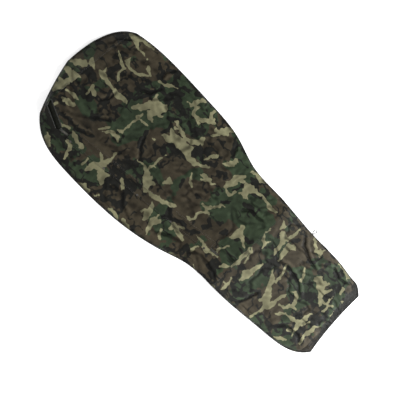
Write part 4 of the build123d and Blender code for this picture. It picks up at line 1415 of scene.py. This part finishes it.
def make_floors():
    """The coated floor in two pieces, with low wrinkles away from the bound edge."""
    # each panel's left and right place on the outline, at the cross seam and at its far end
    runs = {"torso_floor_panel": ((left_cross + ring_length, right_cross), (crown_top, crown_top)),
            "leg_floor_panel": ((left_cross, right_cross), (foot_left, foot_right))}
    up = np.linspace(0, 1, 97)
    side = np.linspace(0, 1, 57)
    for name, (seam, end) in runs.items():
        left_side = ring_point(seam[0] + (end[0] - seam[0]) * up)
        right_side = ring_point(seam[1] + (end[1] - seam[1]) * up)
        seam_line = left_side[0] + (right_side[0] - left_side[0]) * side[:, None]
        end_line = ring_point(end[0] + (end[1] - end[0]) * side)
        flat = patch(seam_line, end_line, left_side, right_side, side, up).reshape(-1, 2)
        x, y = flat[:, 0], flat[:, 1]
        wrinkle = np.abs(fractal(x / 0.12 + y / 0.3, y / 0.2, 131, 3))
        height = 0.25 * MM + 3.6 * MM * wrinkle * ease((inset_of(flat) - 32 * MM) / (50 * MM))
        faces = grid_faces(len(up), len(side))
        if name == "leg_floor_panel":
            faces = [face[::-1] for face in faces]
        cloth = {"flat": np.column_stack([flat, 0 * height])}
        piece = merged(new_piece(name + "_cloth", np.column_stack([flat, height]), faces, cloth))
        dressed(piece, "floor_cloth", name)


# ---------------------------------------------------------------- the zipper and its flap
# its upper side from the root to the free edge and its lower side back, right of the chain and up
flap_top_line = np.array([(42, 1.5), (31, 1.7), (27.5, 3.2), (23.5, 5.4), (19, 5.8), (-26.5, 5.8),
                          (-28, 5.4)]) * MM
flap_low_line = np.array([(-28, 4.9), (-26.5, 4.6), (23, 4.6), (31, 0.3), (42, 0.3)]) * MM


def snap_places():
    """Each snap's place on the flap, right of the chain and down it."""
    step = (zip_length - 2 * snap_end) / (snap_count - 1)
    return np.array([(snap_across, snap_end + step * n) for n in range(snap_count)])


def flap_ripple(u, v):
    """How far the flap bulges up, away from its sewn edge and its snaps."""
    calm = np.ones(u.shape)
    for across_at, down_at in snap_places():
        calm *= 1 - np.exp(-((u - across_at) ** 2 + (v - down_at) ** 2) / (26 * MM) ** 2)
    bulge = 0.5 + 0.5 * fractal(v / 0.07, u / 0.05, 141, 2)
    return 3.6 * MM * bulge * calm * ease((30 * MM - u) / (50 * MM))


def on_flap(u, v, above=0.1 * MM):
    """Points just above the flap's upper side."""
    u, v = np.broadcast_arrays(np.asarray(u, float), np.asarray(v, float))
    line = flap_top_line[::-1]
    top = plateau + np.interp(u, line[:, 0], line[:, 1]) + flap_ripple(u, v)
    return np.column_stack([zip_place(u[:, None], v[:, None]), top + above])


def place_by_zip(u, v):
    """The points u to the right of the chain and v down it, seen from above."""
    return zip_place(u[:, None], v[:, None])


# places down the zipper, from the flap's top end to its lower end
flap_stations = stations_over(flap_end, zip_length - flap_end, 5 * MM)


def flap_section():
    """The flap's closed section, over its top from the root and back under it."""
    top_u = np.linspace(42, -28, 29) * MM
    low_u = np.linspace(-28, 42, 15) * MM
    top_line = flap_top_line[::-1]
    top = np.interp(top_u, top_line[:, 0], top_line[:, 1])
    low = np.interp(low_u, flap_low_line[:, 0], flap_low_line[:, 1])
    return [(u, plateau + z) for u, z in zip(np.concatenate([top_u, low_u]), np.concatenate([top, low]))]


def printed_band(name, section, crease_of, lift=None):
    """A strip of printed cloth along the zipper, with the print where it lies on the front."""
    points, faces, cloth = swept(place_by_zip, section, flap_stations, lift)
    own = printed_attributes(points[:, :2], crease_of(points, cloth))
    return turned_out(new_piece(name, points, faces, own))


def flap_crease(points, cloth):
    """The flap's value for the painted crease shade: a tone that changes at random over the flap, and the
    painted shade of the folds where they cross it.
    """
    own = 0.5 * fractal(cloth[:, 0] / 0.05, cloth[:, 1] / 0.03, 151, 2)
    return np.clip(own + folds(points[:, :2]) / fold_tone, -1, 1)


def make_flap():
    """The storm flap: a hemmed strip of the printed cloth, sewn down along its right edge."""
    piece = printed_band("storm_flap_cloth", flap_section(), flap_crease, flap_ripple)
    dressed(piece, "flap_cloth", "storm_flap", body=None)
    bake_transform(piece)
    across_flap = np.linspace(-25, 40, 27) * MM
    rows = [on_flap(u * MM, flap_stations) for u in (-25.2, -19.4)]
    rows += [on_flap(across_flap, v) for v in (flap_end + 5 * MM, zip_length - flap_end - 5 * MM)]
    stitches = sewn("storm_flap_stitches", rows, body="flap")


def make_flap_seam():
    """The strip that the flap is sewn down with, and its two rows of stitches."""
    section = band_profile(42.3 * MM, 52.3 * MM, plateau, plateau + 1.1 * MM)
    # a constant crease value, which the painted crease shade turns into an even, lighter tone
    piece = printed_band("flap_seam_cloth", section, lambda points, cloth: np.full(len(points), 0.35))
    dressed(piece, "flap_cloth", "flap_seam")
    rows = []
    for u in (44.2, 50.4):
        ground = place_by_zip(np.full(len(flap_stations), u * MM), flap_stations)
        rows.append(np.column_stack([ground, np.full(len(flap_stations), plateau + 1.2 * MM)]))
    sewn("flap_seam_stitches", rows)


def make_teeth(name, side):
    """One chain of moulded teeth, each three sections deep and widest in the middle."""
    pitch = 5 * MM
    middle = np.arange(pitch / 2, zip_length, pitch) + (0 if side < 0 else pitch / 2 - 0.4 * MM)
    middle = middle[middle < zip_length - 1 * MM]
    # each section's distance from the chain, half its width, and its lower and upper side
    sections = ((-0.8, 0.9, -2.0, -0.6), (1.2, 1.25, -2.5, -0.1), (3.4, 1.0, -2.3, -0.3))
    corners = []
    for u, half, low, high in sections:
        for end, height in ((-1, low), (1, low), (1, high), (-1, high)):
            ground = place_by_zip(np.full(len(middle), side * (u * MM)), middle + end * half * MM)
            corners.append(np.column_stack([ground, np.full(len(middle), plateau + height * MM)]))
    walls = [(4 * k + n, 4 * k + (n + 1) % 4, 4 * k + 4 + (n + 1) % 4, 4 * k + 4 + n)
             for k in range(2) for n in range(4)]
    shell = walls + [(3, 2, 1, 0), (8, 9, 10, 11)]
    faces = [[12 * t + c for c in face] for t in range(len(middle)) for face in shell]
    points = np.stack(corners, axis=1).reshape(-1, 3)
    teeth = turned_out(new_piece(name + "_teeth", points, faces, smooth=False))
    dressed(teeth, "zipper_chain", name + "_zipper_chain")


def make_zipper():
    """The zipper's two tapes and its moulded teeth, which mesh along the middle."""
    stations = stations_over(-6 * MM, zip_length + 6 * MM, 6 * MM)
    for side, name in ((-1, "left"), (1, "right")):
        low_u, high_u = sorted((side * 3.2 * MM, side * 14 * MM))
        section = band_profile(low_u, high_u, plateau - 1.6 * MM, plateau - 1.0 * MM)
        band(name + "_tape_cloth", "zipper_tape", place_by_zip, section, stations, name + "_zipper_tape")
        make_teeth(name, side)


# ---------------------------------------------------------------- edges, seams and small parts
def ribbon(name, slot, line, width, thick, *replaced):
    """A flat tape of that width and thickness laid along a line of (x, y, z) points."""
    places = stations_over(0, length_of(line), 4 * MM)
    path = spaced(line, places)
    way = np.gradient(path, axis=0)
    side = np.stack([way[:, 1], -way[:, 0]], axis=1)
    side /= np.linalg.norm(side, axis=1)[:, None]
    section = np.array(band_profile(-width / 2, width / 2, 0, thick))
    rows, count = len(places), len(section)
    ground = path[:, None, :2] + section[None, :, :1] * side[:, None, :]
    height = path[:, None, 2:] + section[None, :, 1:]
    points = np.concatenate([ground, height], axis=2).reshape(-1, 3)
    flat = np.stack([np.tile(places[:, None], (1, count)), np.tile(section[:, 0], (rows, 1)),
                     np.zeros((rows, count))], axis=2).reshape(-1, 3)
    piece = turned_out(new_piece(name, points, tube_faces(rows, count), {"flat": flat}))
    return dressed(piece, slot, *replaced)


def joined(name, pieces, *replaced):
    """Several new meshes as one piece that stands for those CAD nodes."""
    first = pieces[0]
    with bpy.context.temp_override(active_object=first, selected_editable_objects=pieces):
        bpy.ops.object.join()
    first.name = name
    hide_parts(*replaced)


def make_mouth_binding(fine):
    """The bound edge of the mouth: a tape up each side of it, with a row of stitches."""
    sides, rows = [], []
    for side, edge in ((-1, fine["left_front_panel"][:, -1]), (1, fine["torso_panel"][:, 0])):
        beyond = (edge[:, 3:5] - mouth_foot) @ mouth_way > 2 * MM
        line = edge[beyond, :3] + [0, 0, 0.1 * MM]
        line[:, :2] += mouth_side * side * 1.6 * MM
        sides.append(ribbon("mouth_tape", "binding_tape", line, 6.4 * MM, 1.15 * MM))
        row = line + [0, 0, 1.2 * MM]
        row[:, :2] += mouth_side * side * 1.2 * MM
        rows.append(row)
    joined("mouth_binding_tape", sides, "mouth_binding")
    sewn("mouth_stitches", rows)


def seam_rows(fine):
    """The lines of stitches along the cross, crown and foot seams, parted at the mouth."""
    leg, crown, foot = fine["leg_panel"], fine["crown_panel"], fine["foot_panel"]
    rows = [beside(leg, 2.2 * MM, "high"), beside(leg, 7 * MM, "high"), beside(crown, 2.6 * MM, "low"),
            beside(crown, 7 * MM, "low"), beside(leg, 3 * MM, "low"), beside(foot, 3 * MM, "high")]
    rows = [row[4:-4] + [0, 0, 0.12 * MM] for row in rows]
    opening = slice(2 * left_columns - 6, 2 * (left_columns + mouth_columns) + 6)
    crown_rows_parted = [part for row in rows[2:4] for part in (row[:opening.start], row[opening.stop:])]
    return rows[:2] + crown_rows_parted + rows[4:]


def make_seams(fine):
    """Stitch rows along the seams, and the tapes that seal them inside."""
    sewn("seam_stitches", seam_rows(fine))
    under = beside(fine["leg_panel"], 0, "high")[12:-12] - [0, 0, 1.9 * MM]
    ribbon("cross_seam_film", "seam_tape", under, 22 * MM, 0.3 * MM, "cross_seam_tape")
    section = band_profile(10 * MM, 25 * MM, 1.0 * MM, 1.3 * MM)
    runs = {"right_seam_tape": (right_foot, crown_top),
            "left_seam_tape": (crown_top, ring_length + left_foot)}
    for name, (start, end) in runs.items():
        band(name + "_film", "seam_tape", edge_place, section, stations_over(start, end, 8 * MM), name)


def make_inner_loops():
    """The four webbing loops inside, flat on the floor."""
    half_length, above_floor = 15, 1.05
    loops = []
    for x, y in ((414, 800), (-414, 700), (282, -930), (-263, -890)):
        line = np.array([(x + along_it, y, above_floor) for along_it in (-half_length, 0, half_length)]) * MM
        loops.append(ribbon("inner_loop", "webbing", line, 16 * MM, 1.9 * MM))
    joined("inner_loops_webbing", loops, "inner_loops")


# where the loop's bar tack is and how its cord runs from there, in millimetres
loop_base = np.array([331, -652])
LOOP_ROUTE = [(0, 3.4), (9, 3.6), (17, 9.5), (28, 9), (33, 0), (28, -9), (17, -9.5), (9, -3.6), (0, -3.4)]


def make_side_loop():
    """The small cord loop sewn to the right edge."""
    diameter, length, centre = 3 * MM, 76.9 * MM, 2.0 * MM
    data = bpy.data.curves.new("side_loop_cord", "CURVE")
    data.dimensions = "3D"
    data.bevel_depth = diameter / 2
    data.bevel_resolution = 6
    data.resolution_u = 10
    data.use_fill_caps = True
    spline = data.splines.new("NURBS")
    spline.points.add(len(LOOP_ROUTE) - 1)
    for point, (x, y) in zip(spline.points, LOOP_ROUTE):
        point.co = ((loop_base[0] + x) * MM, (loop_base[1] + y) * MM, centre, 1)
    spline.order_u = 3
    spline.use_endpoint_u = True
    loop = bpy.data.objects.new("side_loop_cord", data)
    scene.collection.objects.link(loop)
    dressed(loop, "cord", "side_loop")


def make_bartack():
    """The dense row of thread that holds the loop's two ends down."""
    passes, half, top = 15, 7.6, 3.15 * MM
    rows = []
    for n in range(passes):
        y = (loop_base[1] - half + 2 * half * n / (passes - 1)) * MM
        rows.append([((loop_base[0] - 5.4) * MM, y, top), ((loop_base[0] - 1.4) * MM, y, top)])
    tack = sewn("bartack_thread", rows, length=3.8 * MM, gap=0.05 * MM, thick=0.45 * MM)
    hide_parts("loop_bartack")


def finish_cad_metal():
    """The zipper's and snaps' metal keeps its CAD shape and gets its real finish."""
    slots = {"zipper_metal": ("upper_slider", "lower_slider", "upper_pull", "lower_pull",
                              "zipper_top_stops", "zipper_bottom_stops"),
             "snap_metal": ("snap_caps", "snap_sockets", "snap_studs", "snap_posts", "inner_loop_snaps")}
    for slot, names in slots.items():
        for name in names:
            materials = nodes[name].data.materials
            for place in range(len(materials)):
                materials[place] = finishes[slot]


fine_grids = make_front()
make_bindings()
make_floors()
make_flap()
make_flap_seam()
make_zipper()
make_mouth_binding(fine_grids)
make_seams(fine_grids)
make_inner_loops()
make_side_loop()
make_bartack()
finish_cad_metal()
